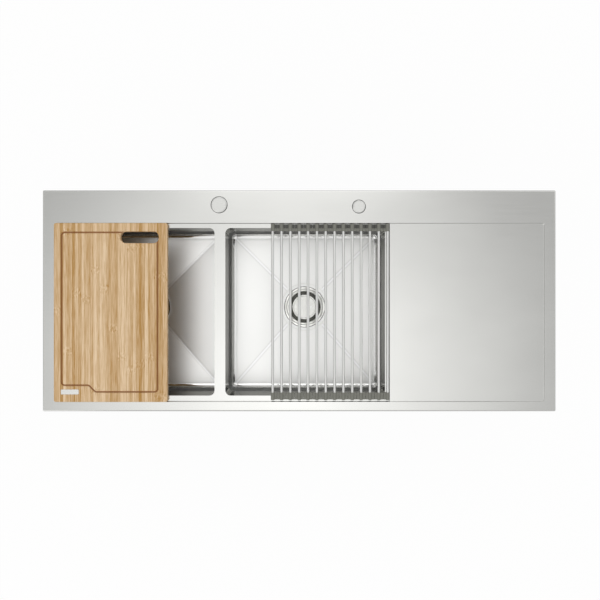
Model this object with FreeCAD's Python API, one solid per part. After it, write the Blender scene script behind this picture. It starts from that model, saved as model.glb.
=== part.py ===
import FreeCAD, Part
import math
import os

# Inset kitchen sink with two bowls, a drainboard, a cutting board and a roll-up rack.
# X runs to the drainboard, Y to the tap ledge at the rear, Z up.
# The origin is the middle of the sink on the worktop's surface. Millimetres.

os.makedirs("parts", exist_ok=True)
V = FreeCAD.Vector
UP = V(0, 0, 1)
REAR = V(0, 1, 0)

# Deck sheet
deck_length = 1160.0
deck_width = 500.0
sheet = 1.0
rim_height = 5.0
rim_edge_radius = 3.0
side_rim = 26.0
front_rim = 22.0
tap_ledge = 74.5
recess_corner = 5.0
ledge_drop = 7.0
panel_drop = 3.0
bend_radius = 1.5
crown_radius = 0.8

# Bowls
bowl_span = 362.0
bowl_depth = 220.0
divider = 24.5
end_ledge = 10.5
rear_ledge = 10.5
front_ledge = 13.0
bowl_corner = 12.0
floor_radius = 11.0
weld_flange = 5.0
crease_margin = 3.0
floor_fall = 6.0
drain_offset = 9.5
recess_radius = 61.0
recess_slope = 3.5
recess_depth = 6.0
drain_hole_radius = 45.0

# Tap ledge holes and the discs that close them
tap_hole_radius = 17.5
tap_hole_x = -181.0
tap_hole_setback = 33.0
dispenser_hole_radius = 14.0
dispenser_hole_x = 135.0
dispenser_hole_setback = 37.0
cover_overlap = 1.6
cover_height = 1.6
cover_sheet = 0.8
cover_edge_radius = 1.2
foam_clearance = 0.3
tab_radius = 1.2

# Cutting board
board_length = 255.0
board_thickness = 20.0
board_corner = 4.0
board_edge_radius = 1.5
board_side_gap = 2.5
board_end_gap = 0.75
rest_gap = 0.3
groove_radius = 2.6
groove_lift = 0.5
groove_left = 17.5
groove_right = 22.0
groove_rear = 21.0
groove_front = 22.5
groove_turn = 7.0
jog_length = 76.0
jog_depth = 15.0
slot_length = 86.0
slot_width = 26.0
slot_end_gap = 19.5
slot_rear_gap = 19.0
slot_corner = 12.0
slot_edge_radius = 2.0
plate_length = 40.0
plate_width = 11.0
plate_left = 16.0
plate_front = 17.0
plate_thickness = 1.2
plate_proud = 0.2
plate_corner = 1.5
plate_gap = 0.15

# Roll-up rack
rod_count = 14
rod_pitch = 20.0
rod_radius = 3.0
rod_wall = 0.7
rack_rear_gap = 1.0
rack_front_gap = 3.3
rack_end_gap = 0.8
link_radius = 4.2
link_width = 17.5
link_web = 2.4
link_cap = 3.0
scallop = 1.3
hinge_gap = 0.3
grip_gap = 0.02

# Strainer in each bowl
seal_thickness = 1.5
flange_radius = 51.0
flange_edge = 1.6
flange_flat = 5.5
throat_radius = 39.0
throat_drop = 3.5
cup_wall = 1.5
cup_depth = 48.0
neck_radius = 24.0
neck_wall = 2.5
neck_length = 22.0
grate_hole_radius = 5.0
grate_circle = 13.0
grate_count = 6
gasket_radius = 54.0
gasket_thickness = 3.0
friction_thickness = 1.0
thread_gap = 0.1
nut_height = 10.0
nut_radius = 48.0
nut_lug_radius = 55.0
nut_lug_width = 12.0
nut_lug_count = 6

# Basket in each strainer
basket_rim_radius = 37.0
basket_rim_width = 2.5
basket_radius = 33.0
basket_floor_radius = 27.0
basket_wall = 0.9
basket_height = 27.0
basket_slot_count = 12
basket_slot_width = 3.0
basket_slot_length = 15.0
floor_hole_radius = 2.5
floor_hole_circle = 17.0
floor_hole_count = 8
foot_height = 4.0
foot_radius = 22.0
foot_inner_radius = 19.0
cap_radius = 31.0
cap_ring = 3.5
cap_dish = 0.9
cap_thickness = 1.5
cap_skirt = 4.0
cap_below_flange = 4.0
stem_radius = 3.5
cap_hole_radius = 1.6
cap_hole_circle = 16.0

# Outlet under each strainer
tail_radius = 20.0
tail_wall = 1.5
tail_length = 110.0
tail_flange = 2.5
tail_bead = 1.6
tail_bead_height = 3.0
tail_bead_drop = 12.0
washer_thickness = 2.0
coupling_wall = 5.0
coupling_lip = 3.0
coupling_grip = 12.0
coupling_rib_count = 8
coupling_rib_width = 5.0
coupling_rib_height = 2.0
lip_gap = 0.3

# Parts under the rim
foam_width = 8.0
foam_offset = 2.5
rail_offset = 12.0
rail_leg = 18.0
rail_flange = 8.0
rail_sheet = 1.2
rail_end_gap = 60.0
clip_width = 20.0
clip_height = 46.0
clip_sheet = 1.5
clip_foot = 11.0
clip_tooth = 4.0
clip_tooth_count = 3
clip_tooth_shares = (0.16, 0.5, 0.84)
clip_top_drop = 3.0
long_clip_shares = (-0.42, -0.15, 0.15, 0.42)
short_clip_shares = (-0.32, 0.32)
screw_radius = 2.5
screw_head_radius = 4.5
screw_head = 2.5
screw_tail = 4.0
screw_drop = 10.0
slot_clearance = 0.3
clip_slot_length = 26.0

# Stiffeners and pads
stiffener_end_gap = 24.5
stiffener_width = 34.0
stiffener_height = 12.0
stiffener_flange = 10.0
stiffener_setback = 111.75
stiffener_sheet = 1.0
pad_thickness = 3.0
pad_length = 220.0
pad_height = 110.0
pad_corner = 12.0
pad_drop = 60.0

# Cutting helpers
overrun = 2.0
tiny = 0.0001
TURN = 360.0

# Places that follow from the sizes
deck_left = -deck_length / 2
deck_right = deck_length / 2
deck_front = -deck_width / 2
deck_rear = deck_width / 2
recess_left = deck_left + side_rim
recess_right = deck_right - side_rim
recess_front = deck_front + front_rim
recess_rear = deck_rear - tap_ledge
ledge_z = rim_height - ledge_drop
panel_z = rim_height - panel_drop
tap_hole_y = deck_rear - tap_hole_setback
dispenser_hole_y = deck_rear - dispenser_hole_setback
left_bowl_x = recess_left + bowl_span / 2
right_bowl_x = left_bowl_x + bowl_span + divider
panel_x = right_bowl_x + bowl_span / 2 + end_ledge
bowl_rear = recess_rear - rear_ledge
bowl_front = recess_front + front_ledge
bowl_y = (bowl_rear + bowl_front) / 2
bowl_top = ledge_z - sheet
floor_z = rim_height - bowl_depth
drain_y = bowl_y + drain_offset
seat_z = floor_z - floor_fall - recess_depth
flange_z = seat_z + seal_thickness
cup_radius = throat_radius + cup_wall
cup_floor = flange_z - cup_depth
neck_end = cup_floor - cup_wall - neck_length
basket_floor = cup_floor + foot_height
cap_top = flange_z + flange_edge - cap_below_flange
rod_z = ledge_z + rest_gap + link_radius
rack_rear = recess_rear - rack_rear_gap
rack_front = recess_front + rack_front_gap
first_rod_x = panel_x - rack_end_gap - link_radius
under_rim = rim_height - sheet


def box(x0, y0, z0, x1, y1, z1):
    """Box between two opposite corners."""
    return Part.makeBox(x1 - x0, y1 - y0, z1 - z0, V(x0, y0, z0))


def upright_edges(shape):
    """Straight edges that run along Z."""
    found = []
    for edge in shape.Edges:
        span = edge.BoundBox
        if span.XLength < tiny and span.YLength < tiny:
            found.append(edge)
    return found


def edges_at(shape, height):
    """Edges that lie flat at one height."""
    found = []
    for edge in shape.Edges:
        span = edge.BoundBox
        if abs(span.ZMin - height) < tiny and abs(span.ZMax - height) < tiny:
            found.append(edge)
    return found


def rounded_box(x0, y0, z0, x1, y1, z1, radius):
    """Box with rounded upright edges."""
    block = box(x0, y0, z0, x1, y1, z1)
    return block.makeFillet(radius, upright_edges(block))


def column(radius, z0, z1, x=0, y=0):
    """Upright cylinder between two heights."""
    return Part.makeCylinder(radius, z1 - z0, V(x, y, z0))


def ring(outer, inner, z0, z1, x=0, y=0):
    """Flat ring between two heights."""
    bore = column(inner, z0 - overrun, z1 + overrun, x, y)
    return column(outer, z0, z1, x, y).cut(bore)


def turned(profile, x, y):
    """Solid of revolution about an upright axis, from points of radius and height."""
    points = [V(radius, 0, height) for radius, height in profile]
    points.append(points[0])
    solid = Part.Face(Part.makePolygon(points)).revolve(V(0, 0, 0), UP, TURN)
    solid.translate(V(x, y, 0))
    return solid


def around(shape, count, x, y):
    """Copies of a shape turned evenly about an upright axis."""
    copies = []
    for index in range(count):
        copy = shape.copy()
        copy.rotate(V(x, y, 0), UP, TURN * index / count)
        copies.append(copy)
    return copies


def save(name, shape):
    """Write one sub-part."""
    shape.exportStep("parts/" + name + ".step")


def save_group(name, solids):
    """Write a sub-part that is several separate solids."""
    save(name, Part.makeCompound(solids))


def rim_block(inset):
    """Outside of the raised rim, or its inside when inset by the sheet."""
    block = box(
        deck_left + inset, deck_front + inset, 0,
        deck_right - inset, deck_rear - inset, rim_height - inset)
    edges = upright_edges(block) + edges_at(block, rim_height - inset)
    return block.makeFillet(rim_edge_radius - inset, edges)


def bowl_opening(x, z0, z1):
    """Cut through the ledge for the bowl that stands at x."""
    return rounded_box(
        x - bowl_span / 2, bowl_front, z0,
        x + bowl_span / 2, bowl_rear, z1, bowl_corner)


def recess_space():
    """Air over the lowered ledge and the drainboard panel, with its bends."""
    top = rim_height + overrun
    ledge = rounded_box(
        recess_left, recess_front, ledge_z, recess_right, recess_rear, top, recess_corner)
    ledge = ledge.cut(box(
        panel_x, recess_front - overrun, ledge_z - overrun,
        recess_right + overrun, recess_rear + overrun, top + overrun))
    ledge = ledge.makeFillet(bend_radius, edges_at(ledge, ledge_z))
    panel = rounded_box(
        recess_left, recess_front, panel_z, recess_right, recess_rear, top, recess_corner)
    panel = panel.makeFillet(bend_radius, edges_at(panel, panel_z))
    return ledge.fuse(panel)


def deck():
    """Pressed top sheet: rim with turned-down lip, stepped tray and its openings."""
    under = rim_block(sheet).fuse(box(
        deck_left + sheet + rim_edge_radius, deck_front + sheet + rim_edge_radius, -overrun,
        deck_right - sheet - rim_edge_radius, deck_rear - sheet - rim_edge_radius, 0))
    lip = rim_block(0).cut(under)
    tray = box(
        recess_left - sheet, recess_front - sheet, panel_z - sheet,
        recess_right + sheet, recess_rear + sheet, under_rim + sheet / 2)
    low_tray = box(
        recess_left - sheet, recess_front - sheet, ledge_z - sheet,
        panel_x + sheet, recess_rear + sheet, panel_z)
    body = lip.fuse([tray, low_tray]).cut(recess_space())
    body = body.makeFillet(crown_radius, [
        edge for edge in edges_at(body, rim_height)
        if edge.BoundBox.XMin > recess_left - tiny and edge.BoundBox.XMax < recess_right + tiny
        and edge.BoundBox.YMin > recess_front - tiny and edge.BoundBox.YMax < recess_rear + tiny])
    cuts = []
    for x in (left_bowl_x, right_bowl_x):
        cuts.append(bowl_opening(x, bowl_top - overrun, rim_height - bend_radius))
    cuts.append(column(
        tap_hole_radius, -overrun, rim_height + overrun, tap_hole_x, tap_hole_y))
    cuts.append(column(
        dispenser_hole_radius, -overrun, rim_height + overrun, dispenser_hole_x, dispenser_hole_y))
    return body.cut(cuts).removeSplitter()


def rectangle(x0, y0, x1, y1, z):
    """Closed rectangular wire at one height."""
    corners = [V(x0, y0, z), V(x1, y0, z), V(x1, y1, z), V(x0, y1, z), V(x0, y0, z)]
    return Part.makePolygon(corners)


def bowl_space(x, grow):
    """Inside of a bowl, or its outside when grown by the sheet."""
    half = bowl_span / 2 + grow
    low = floor_z - grow
    space = box(
        x - half, bowl_front - grow, low, x + half, bowl_rear + grow, bowl_top + grow)
    space = space.makeFillet(bowl_corner + grow, upright_edges(space))
    space = space.makeFillet(floor_radius + grow, edges_at(space, low))
    inset = floor_radius + crease_margin
    wide = rectangle(
        x - bowl_span / 2 + inset, bowl_front + inset,
        x + bowl_span / 2 - inset, bowl_rear - inset, low)
    reach = recess_radius / math.sqrt(2)
    narrow = rectangle(
        x - reach, drain_y - reach, x + reach, drain_y + reach, low - floor_fall)
    falls = Part.makeLoft([wide, narrow], True, True)
    lift = box(
        x - bowl_span / 2 + inset, bowl_front + inset, low,
        x + bowl_span / 2 - inset, bowl_rear - inset, low + floor_radius)
    seat = seat_z - grow
    recess = Part.makeCone(
        recess_radius - recess_slope + grow, recess_radius + grow, low - seat,
        V(x, drain_y, seat))
    return space.fuse([falls.fuse(lift), recess])


def bowl(x):
    """Drawn bowl with creased floor, pressed drain recess and a welding flange."""
    reach = sheet + weld_flange
    flange = rounded_box(
        x - bowl_span / 2 - reach, bowl_front - reach, bowl_top - sheet,
        x + bowl_span / 2 + reach, bowl_rear + reach, bowl_top, bowl_corner + reach)
    shell = bowl_space(x, sheet)
    above = box(
        x - bowl_span, bowl_front - bowl_span, bowl_top,
        x + bowl_span, bowl_rear + bowl_span, bowl_top + bowl_span)
    body = shell.fuse(flange).cut(above)
    drain = column(drain_hole_radius, seat_z - sheet - overrun, floor_z, x, drain_y)
    opening = bowl_opening(x, floor_z + bowl_corner + floor_radius, bowl_top + overrun)
    return body.cut([bowl_space(x, 0), opening, drain]).removeSplitter()


def cover(radius, x, y, tab_side):
    """Thin dished disc with a turned-down edge that closes a hole in the tap ledge."""
    edge = radius + cover_overlap
    top = rim_height + rest_gap + cover_height
    disc = column(edge, rim_height + rest_gap, top, x, y)
    disc = disc.makeFillet(cover_edge_radius, edges_at(disc, top))
    hollow = column(edge - cover_sheet, rim_height, top - cover_sheet, x, y)
    tab_x = x + tab_side * (radius - tab_radius)
    tab = column(tab_radius, top - cover_sheet / 2, top + overrun, tab_x, y)
    return disc.cut([hollow, tab])


def cover_foam(radius, x, y):
    """Foam ring inside a cover's turned-down edge."""
    outer = radius + cover_overlap - cover_sheet
    top = rim_height + rest_gap + cover_height - cover_sheet
    return ring(outer, radius + foam_clearance, rim_height + rest_gap, top, x, y)


def rounded_loop(points, radius, z):
    """Closed wire through corner points with tangent arcs at the corners."""
    count = len(points)
    arcs = []
    for index in range(count):
        corner = V(points[index][0], points[index][1], z)
        before = V(points[index - 1][0], points[index - 1][1], z)
        after = V(points[(index + 1) % count][0], points[(index + 1) % count][1], z)
        to_before = (before - corner).normalize()
        to_after = (after - corner).normalize()
        half_turn = to_before.getAngle(to_after) / 2
        cut_back = radius / math.tan(half_turn)
        middle_way = (to_before + to_after).normalize()
        centre = corner + middle_way * (radius / math.sin(half_turn))
        start = corner + to_before * cut_back
        end = corner + to_after * cut_back
        arcs.append((start, centre - middle_way * radius, end))
    edges = []
    for index, (start, middle, end) in enumerate(arcs):
        edges.append(Part.Arc(start, middle, end).toShape())
        following = arcs[(index + 1) % count][0]
        edges.append(Part.LineSegment(end, following).toShape())
    return Part.Wire(edges)


board_left = recess_left + board_side_gap
board_right = board_left + board_length
board_rear = recess_rear - board_end_gap
board_front = recess_front + board_end_gap
board_z = ledge_z + rest_gap
board_top = board_z + board_thickness
slot_right = board_right - slot_end_gap
slot_rear = board_rear - slot_rear_gap


def juice_groove():
    """Round-bottomed groove round the board, stepped inwards beside the plate."""
    left = board_left + groove_left
    right = board_right - groove_right
    rear = board_rear - groove_rear
    front = board_front + groove_front
    points = [
        (left, rear), (left, front + jog_depth),
        (left + jog_length - jog_depth, front + jog_depth), (left + jog_length, front),
        (right, front), (right, rear)]
    height = board_top + groove_lift
    path = rounded_loop(points, groove_turn, height)
    start = V((left + right) / 2, rear, height)
    circle = Part.Wire(Part.makeCircle(groove_radius, start, V(1, 0, 0)))
    segment = path.Edges[-1]
    first = Part.LineSegment(start, segment.valueAt(segment.LastParameter)).toShape()
    last = Part.LineSegment(segment.valueAt(segment.FirstParameter), start).toShape()
    spine = Part.Wire([first] + path.Edges[:-1] + [last])
    return spine.makePipeShell([circle], True, False)


def cutting_board():
    """Bamboo board with a hand slot, a juice groove and a pocket for its plate."""
    body = box(board_left, board_front, board_z, board_right, board_rear, board_top)
    body = body.makeFillet(board_corner, upright_edges(body))
    faces = edges_at(body, board_top) + edges_at(body, board_z)
    body = body.makeFillet(board_edge_radius, faces)
    slot = rounded_box(
        slot_right - slot_length, slot_rear - slot_width, board_z - overrun,
        slot_right, slot_rear, board_top + overrun, slot_corner)
    body = body.cut(slot)
    span = slot.BoundBox
    slot_edges = [
        edge for edge in edges_at(body, board_top) + edges_at(body, board_z)
        if edge.BoundBox.XMin > span.XMin - tiny and edge.BoundBox.XMax < span.XMax + tiny
        and edge.BoundBox.YMin > span.YMin - tiny and edge.BoundBox.YMax < span.YMax + tiny]
    body = body.makeFillet(slot_edge_radius, slot_edges)
    pocket = rounded_box(
        board_left + plate_left - plate_gap, board_front + plate_front - plate_gap,
        board_top - plate_thickness + plate_proud,
        board_left + plate_left + plate_length + plate_gap,
        board_front + plate_front + plate_width + plate_gap,
        board_top + overrun, plate_corner + plate_gap)
    return body.cut([juice_groove(), pocket])


def board_plate():
    """Bare steel plate let into the board."""
    plate = rounded_box(
        board_left + plate_left, board_front + plate_front,
        board_top - plate_thickness + plate_proud,
        board_left + plate_left + plate_length, board_front + plate_front + plate_width,
        board_top + plate_proud, plate_corner)
    return plate


def lying_rod(radius, y0, y1, x, z):
    """Cylinder along Y."""
    return Part.makeCylinder(radius, y1 - y0, V(x, y0, z), REAR)


def rack_rod(x):
    """Steel tube of the rack."""
    front = rack_front + link_cap
    rear = rack_rear - link_cap
    bore = lying_rod(rod_radius - rod_wall, front - overrun, rear + overrun, x, rod_z)
    return lying_rod(rod_radius, front, rear, x, rod_z).cut(bore)


def rack_link_end(x, outer_y, inward, left_side, right_side):
    """One silicone end: a bump round the rod and flat webs towards its neighbours."""
    inner_y = outer_y + inward * link_width
    low_y = min(outer_y, inner_y)
    bump = lying_rod(link_radius, low_y, low_y + link_width, x, rod_z)
    web_reach = rod_pitch / 2 - hinge_gap / 2
    low_x = x - web_reach if left_side else x
    high_x = x + web_reach if right_side else x
    web_y = outer_y + inward * scallop
    web = box(
        low_x, min(web_y, inner_y), rod_z - link_web / 2,
        high_x, max(web_y, inner_y), rod_z + link_web / 2)
    grip = lying_rod(
        rod_radius + grip_gap, low_y, low_y + link_width, x, rod_z)
    grip.translate(V(0, inward * link_cap, 0))
    return bump.fuse(web).cut(grip).removeSplitter()


def rack_link(index):
    """Both silicone ends of one rod, counted from the drainboard."""
    x = first_rod_x - index * rod_pitch
    left_side = index < rod_count - 1
    right_side = index > 0
    return [
        rack_link_end(x, rack_front, 1, left_side, right_side),
        rack_link_end(x, rack_rear, -1, left_side, right_side)]


def strainer_body(x):
    """Flange, threaded cup, grate and outlet neck in one turned piece."""
    top = flange_z + flange_edge
    shoulder = flange_z - throat_drop
    inner_neck = neck_radius - neck_wall
    profile = [
        (flange_radius, flange_z), (flange_radius, top), (flange_radius - flange_flat, top),
        (throat_radius, shoulder), (throat_radius, cup_floor), (0, cup_floor),
        (0, cup_floor - cup_wall), (inner_neck, cup_floor - cup_wall), (inner_neck, neck_end),
        (neck_radius, neck_end), (neck_radius, cup_floor - cup_wall),
        (cup_radius, cup_floor - cup_wall), (cup_radius, flange_z)]
    body = turned(profile, x, drain_y)
    hole = column(
        grate_hole_radius, cup_floor - cup_wall - overrun, cup_floor + overrun,
        x + grate_circle, drain_y)
    return body.cut(around(hole, grate_count, x, drain_y))


def flange_seal(x):
    """Flat seal between the strainer flange and the bowl's recess."""
    inner = drain_hole_radius + thread_gap
    return ring(flange_radius - sheet, inner, seat_z, flange_z, x, drain_y)


def drain_gasket(x):
    """Rubber ring pressed up under the bowl."""
    top = seat_z - sheet
    return ring(gasket_radius, cup_radius + thread_gap, top - gasket_thickness, top, x, drain_y)


def friction_ring(x):
    """Slip ring between gasket and lock nut."""
    top = seat_z - sheet - gasket_thickness
    inner = cup_radius + thread_gap
    return ring(gasket_radius, inner, top - friction_thickness, top, x, drain_y)


def lock_nut(x):
    """Lugged ring nut on the cup's thread."""
    top = seat_z - sheet - gasket_thickness - friction_thickness
    low = top - nut_height
    body = column(nut_radius, low, top, x, drain_y)
    lug = rounded_box(
        x, drain_y - nut_lug_width / 2, low,
        x + nut_lug_radius, drain_y + nut_lug_width / 2, top, nut_lug_width / 4)
    bore = column(cup_radius + thread_gap, low - overrun, top + overrun, x, drain_y)
    return body.fuse(around(lug, nut_lug_count, x, drain_y)).cut(bore).removeSplitter()


def basket(x):
    """Perforated cup with a rolled rim, open at the top."""
    top = basket_floor + basket_height
    low = basket_floor
    wall = basket_wall
    profile = [
        (0, low), (basket_floor_radius, low), (basket_radius, top - basket_rim_width),
        (basket_rim_radius, top - basket_rim_width), (basket_rim_radius, top),
        (basket_rim_radius - wall, top), (basket_rim_radius - wall, top - basket_rim_width + wall),
        (basket_radius - wall, top - basket_rim_width + wall),
        (basket_floor_radius - wall, low + wall), (0, low + wall)]
    body = turned(profile, x, drain_y)
    middle = low + (basket_height - basket_rim_width) / 2
    side_slot = box(
        x + basket_floor_radius / 2, drain_y - basket_slot_width / 2,
        middle - basket_slot_length / 2,
        x + basket_rim_radius, drain_y + basket_slot_width / 2,
        middle + basket_slot_length / 2)
    floor_hole = column(
        floor_hole_radius, low - overrun, low + wall + overrun, x + floor_hole_circle, drain_y)
    cuts = around(side_slot, basket_slot_count, x, drain_y)
    cuts += around(floor_hole, floor_hole_count, x, drain_y)
    cuts.append(column(stem_radius, low - overrun, low + wall + overrun, x, drain_y))
    return body.cut(cuts)


def basket_seal(x):
    """Rubber ring under the basket that closes the grate."""
    low = cup_floor + rest_gap
    return ring(foot_radius, foot_inner_radius, low, basket_floor, x, drain_y)


def basket_cap(x):
    """Dished cap over the basket with its stem."""
    low = cap_top - cap_skirt
    inner = cap_radius - cap_ring
    profile = [
        (0, cap_top - cap_dish), (inner - cap_dish, cap_top - cap_dish), (inner, cap_top),
        (cap_radius - cap_dish, cap_top), (cap_radius, cap_top - cap_dish), (cap_radius, low),
        (cap_radius - basket_wall, low), (cap_radius - basket_wall, cap_top - cap_thickness),
        (stem_radius, cap_top - cap_dish - cap_thickness), (stem_radius, basket_floor),
        (0, basket_floor)]
    hole = column(
        cap_hole_radius, cap_top - cap_skirt, cap_top + overrun, x + cap_hole_circle, drain_y)
    return turned(profile, x, drain_y).cut(hole)


def tailpiece(x):
    """Outlet tube with a flanged top and a stop bead."""
    top = neck_end - washer_thickness
    low = top - tail_flange
    bead = low - tail_bead_drop
    bore = tail_radius - tail_wall
    flange = neck_radius - thread_gap
    profile = [
        (bore, top), (flange, top), (flange, low), (tail_radius, low), (tail_radius, bead),
        (tail_radius + tail_bead, bead - tail_bead_height / 2),
        (tail_radius, bead - tail_bead_height), (tail_radius, low - tail_length),
        (bore, low - tail_length)]
    return turned(profile, x, drain_y)


def tail_washer(x):
    """Flat washer between the outlet neck and the tailpiece."""
    inner = tail_radius - tail_wall
    return ring(neck_radius - thread_gap, inner, neck_end - washer_thickness, neck_end, x, drain_y)


def coupling_nut(x):
    """Ribbed nut that draws the tailpiece up to the outlet neck."""
    top = neck_end + coupling_grip
    flange_low = neck_end - washer_thickness - tail_flange
    low = flange_low - coupling_lip
    thread = neck_radius + thread_gap
    outer = thread + coupling_wall
    lip = tail_radius + lip_gap
    profile = [
        (thread, top), (outer, top), (outer, low), (lip, low), (lip, flange_low),
        (thread, flange_low)]
    body = turned(profile, x, drain_y)
    rib = box(
        x + thread + coupling_wall / 2, drain_y - coupling_rib_width / 2, low,
        x + outer + coupling_rib_height, drain_y + coupling_rib_width / 2, top)
    return body.fuse(around(rib, coupling_rib_count, x, drain_y)).removeSplitter()


def rim_seal():
    """Foam strip under the rim, inside the lip."""
    inset = sheet + foam_offset
    outer = box(
        deck_left + inset, deck_front + inset, 0, deck_right - inset, deck_rear - inset, under_rim)
    inset += foam_width
    inner = box(
        deck_left + inset, deck_front + inset, -overrun,
        deck_right - inset, deck_rear - inset, under_rim + overrun)
    return outer.cut(inner)


def to_side(shape, turns, offset):
    """Move a shape from the front middle to one of the four sides."""
    moved = shape.copy()
    moved.translate(V(0, -offset, 0))
    moved.rotate(V(0, 0, 0), UP, TURN / 4 * turns)
    return moved


def clip_places():
    """Side, distance and places along it of every mounting clip."""
    long_run = deck_length - 2 * rail_end_gap
    short_run = deck_width - 2 * rail_end_gap
    front = deck_width / 2 - rail_offset
    side = deck_length / 2 - rail_offset
    long_places = [long_run * share for share in long_clip_shares]
    short_places = [short_run * share for share in short_clip_shares]
    return [
        (0, front, long_run, long_places), (1, side, short_run, short_places),
        (2, front, long_run, long_places), (3, side, short_run, short_places)]


def clip_rails():
    """Angle rails welded under the rim, with a screw hole at each clip."""
    rails = []
    for turns, offset, run, places in clip_places():
        leg = box(-run / 2, 0, under_rim - rail_leg, run / 2, rail_sheet, under_rim)
        flange = box(-run / 2, 0, under_rim - rail_sheet, run / 2, rail_flange, under_rim)
        holes = []
        for place in places:
            holes.append(lying_rod(
                screw_radius + thread_gap, -overrun, rail_sheet + overrun,
                place, under_rim - screw_drop))
        rails.append(to_side(leg.fuse(flange).cut(holes), turns, offset))
    return rails


def clip():
    """Toothed claw that grips the worktop's underside, slotted for its screw."""
    top = under_rim - rail_sheet - clip_top_drop
    low = top - clip_height
    plate = box(
        -clip_width / 2, rail_sheet, low, clip_width / 2, rail_sheet + clip_sheet, top)
    foot = box(
        -clip_width / 2, rail_sheet - clip_foot, low, clip_width / 2, rail_sheet, low + clip_sheet)
    claw = box(
        -clip_width / 2, rail_sheet - clip_foot, low,
        clip_width / 2, rail_sheet - clip_foot + clip_sheet, low + clip_sheet + clip_tooth)
    notches = []
    tooth_gap = clip_width / (2 * clip_tooth_count)
    for share in clip_tooth_shares:
        place = (share - clip_tooth_shares[1]) * clip_width
        notches.append(box(
            place - tooth_gap / 2, rail_sheet - clip_foot - overrun,
            low + clip_sheet + clip_tooth / 2,
            place + tooth_gap / 2, rail_sheet - clip_foot + clip_sheet + overrun,
            low + clip_sheet + clip_tooth + overrun))
    half = screw_radius + slot_clearance
    screw_z = under_rim - screw_drop
    slot = box(
        -half, rail_sheet - overrun, screw_z - clip_slot_length + 2 * half,
        half, rail_sheet + clip_sheet + overrun, screw_z + half)
    return plate.fuse([foot, claw]).cut(notches + [slot])


def clip_screw():
    """Pan-head screw through the claw's slot into the rail."""
    face = rail_sheet + clip_sheet
    screw_z = under_rim - screw_drop
    shank = lying_rod(screw_radius, -screw_tail, face, 0, screw_z)
    head = lying_rod(screw_head_radius, face, face + screw_head, 0, screw_z)
    return shank.fuse(head)


def at_clips(shape):
    """Copies of a shape at every clip place."""
    copies = []
    for turns, offset, run, places in clip_places():
        for place in places:
            copy = shape.copy()
            copy.translate(V(place, 0, 0))
            copies.append(to_side(copy, turns, offset))
    return copies


def stiffener(y):
    """Hat channel under the drainboard."""
    top = panel_z - sheet
    x0 = panel_x + stiffener_end_gap
    x1 = recess_right - stiffener_end_gap
    half = stiffener_width / 2
    low = top - stiffener_height
    brim = box(x0, y - half - stiffener_flange, top - stiffener_sheet,
               x1, y + half + stiffener_flange, top)
    crown = box(x0, y - half, low, x1, y + half, top)
    hollow = box(
        x0 - overrun, y - half + stiffener_sheet, low + stiffener_sheet,
        x1 + overrun, y + half - stiffener_sheet, top + overrun)
    return brim.fuse(crown).cut(hollow)


def sound_pads():
    """Pads stuck to the outside walls of the bowls."""
    high = bowl_top - pad_drop
    low = high - pad_height
    pads = []
    for x in (left_bowl_x, right_bowl_x):
        for wall_y, outward in ((bowl_front - sheet, -1), (bowl_rear + sheet, 1)):
            far_y = wall_y + outward * pad_thickness
            pad = box(x - pad_length / 2, min(wall_y, far_y), low,
                      x + pad_length / 2, max(wall_y, far_y), high)
            across = [edge for edge in pad.Edges if edge.BoundBox.YLength > pad_thickness / 2]
            pads.append(pad.makeFillet(pad_corner, across))
    outer_walls = (
        (left_bowl_x - bowl_span / 2 - sheet, -1), (right_bowl_x + bowl_span / 2 + sheet, 1))
    for wall_x, outward in outer_walls:
        far_x = wall_x + outward * pad_thickness
        pad = box(min(wall_x, far_x), bowl_y - pad_length / 2, low,
                  max(wall_x, far_x), bowl_y + pad_length / 2, high)
        across = [edge for edge in pad.Edges if edge.BoundBox.XLength > pad_thickness / 2]
        pads.append(pad.makeFillet(pad_corner, across))
    return pads


save("deck", deck())
save("rim_seal", rim_seal())
save_group("clip_rails", clip_rails())
save_group("mounting_clips", at_clips(clip()))
save_group("clip_screws", at_clips(clip_screw()))
save_group("drainboard_stiffeners", [
    stiffener(recess_rear - stiffener_setback),
    stiffener(recess_front + stiffener_setback)])
save_group("sound_pads", sound_pads())

save("tap_hole_cover", cover(tap_hole_radius, tap_hole_x, tap_hole_y, 1))
save("tap_cover_foam", cover_foam(tap_hole_radius, tap_hole_x, tap_hole_y))
dispenser_cover = cover(dispenser_hole_radius, dispenser_hole_x, dispenser_hole_y, -1)
save("dispenser_hole_cover", dispenser_cover)
save("dispenser_cover_foam", cover_foam(dispenser_hole_radius, dispenser_hole_x, dispenser_hole_y))

save("cutting_board", cutting_board())
save("board_plate", board_plate())

for index in range(rod_count):
    number = "%02d" % (index + 1)
    save("rack_rod_" + number, rack_rod(first_rod_x - index * rod_pitch))
    save_group("rack_link_" + number, rack_link(index))

drains = (left_bowl_x, right_bowl_x)
for side, x in zip(("left", "right"), drains):
    save(side + "_bowl", bowl(x))
    save(side + "_strainer", strainer_body(x))
    save(side + "_basket", basket(x))
    save(side + "_basket_seal", basket_seal(x))
    save(side + "_basket_cap", basket_cap(x))
    save(side + "_tailpiece", tailpiece(x))
save_group("flange_seals", [flange_seal(x) for x in drains])
save_group("drain_gaskets", [drain_gasket(x) for x in drains])
save_group("friction_rings", [friction_ring(x) for x in drains])
save_group("lock_nuts", [lock_nut(x) for x in drains])
save_group("tailpiece_washers", [tail_washer(x) for x in drains])
save_group("coupling_nuts", [coupling_nut(x) for x in drains])
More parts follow.
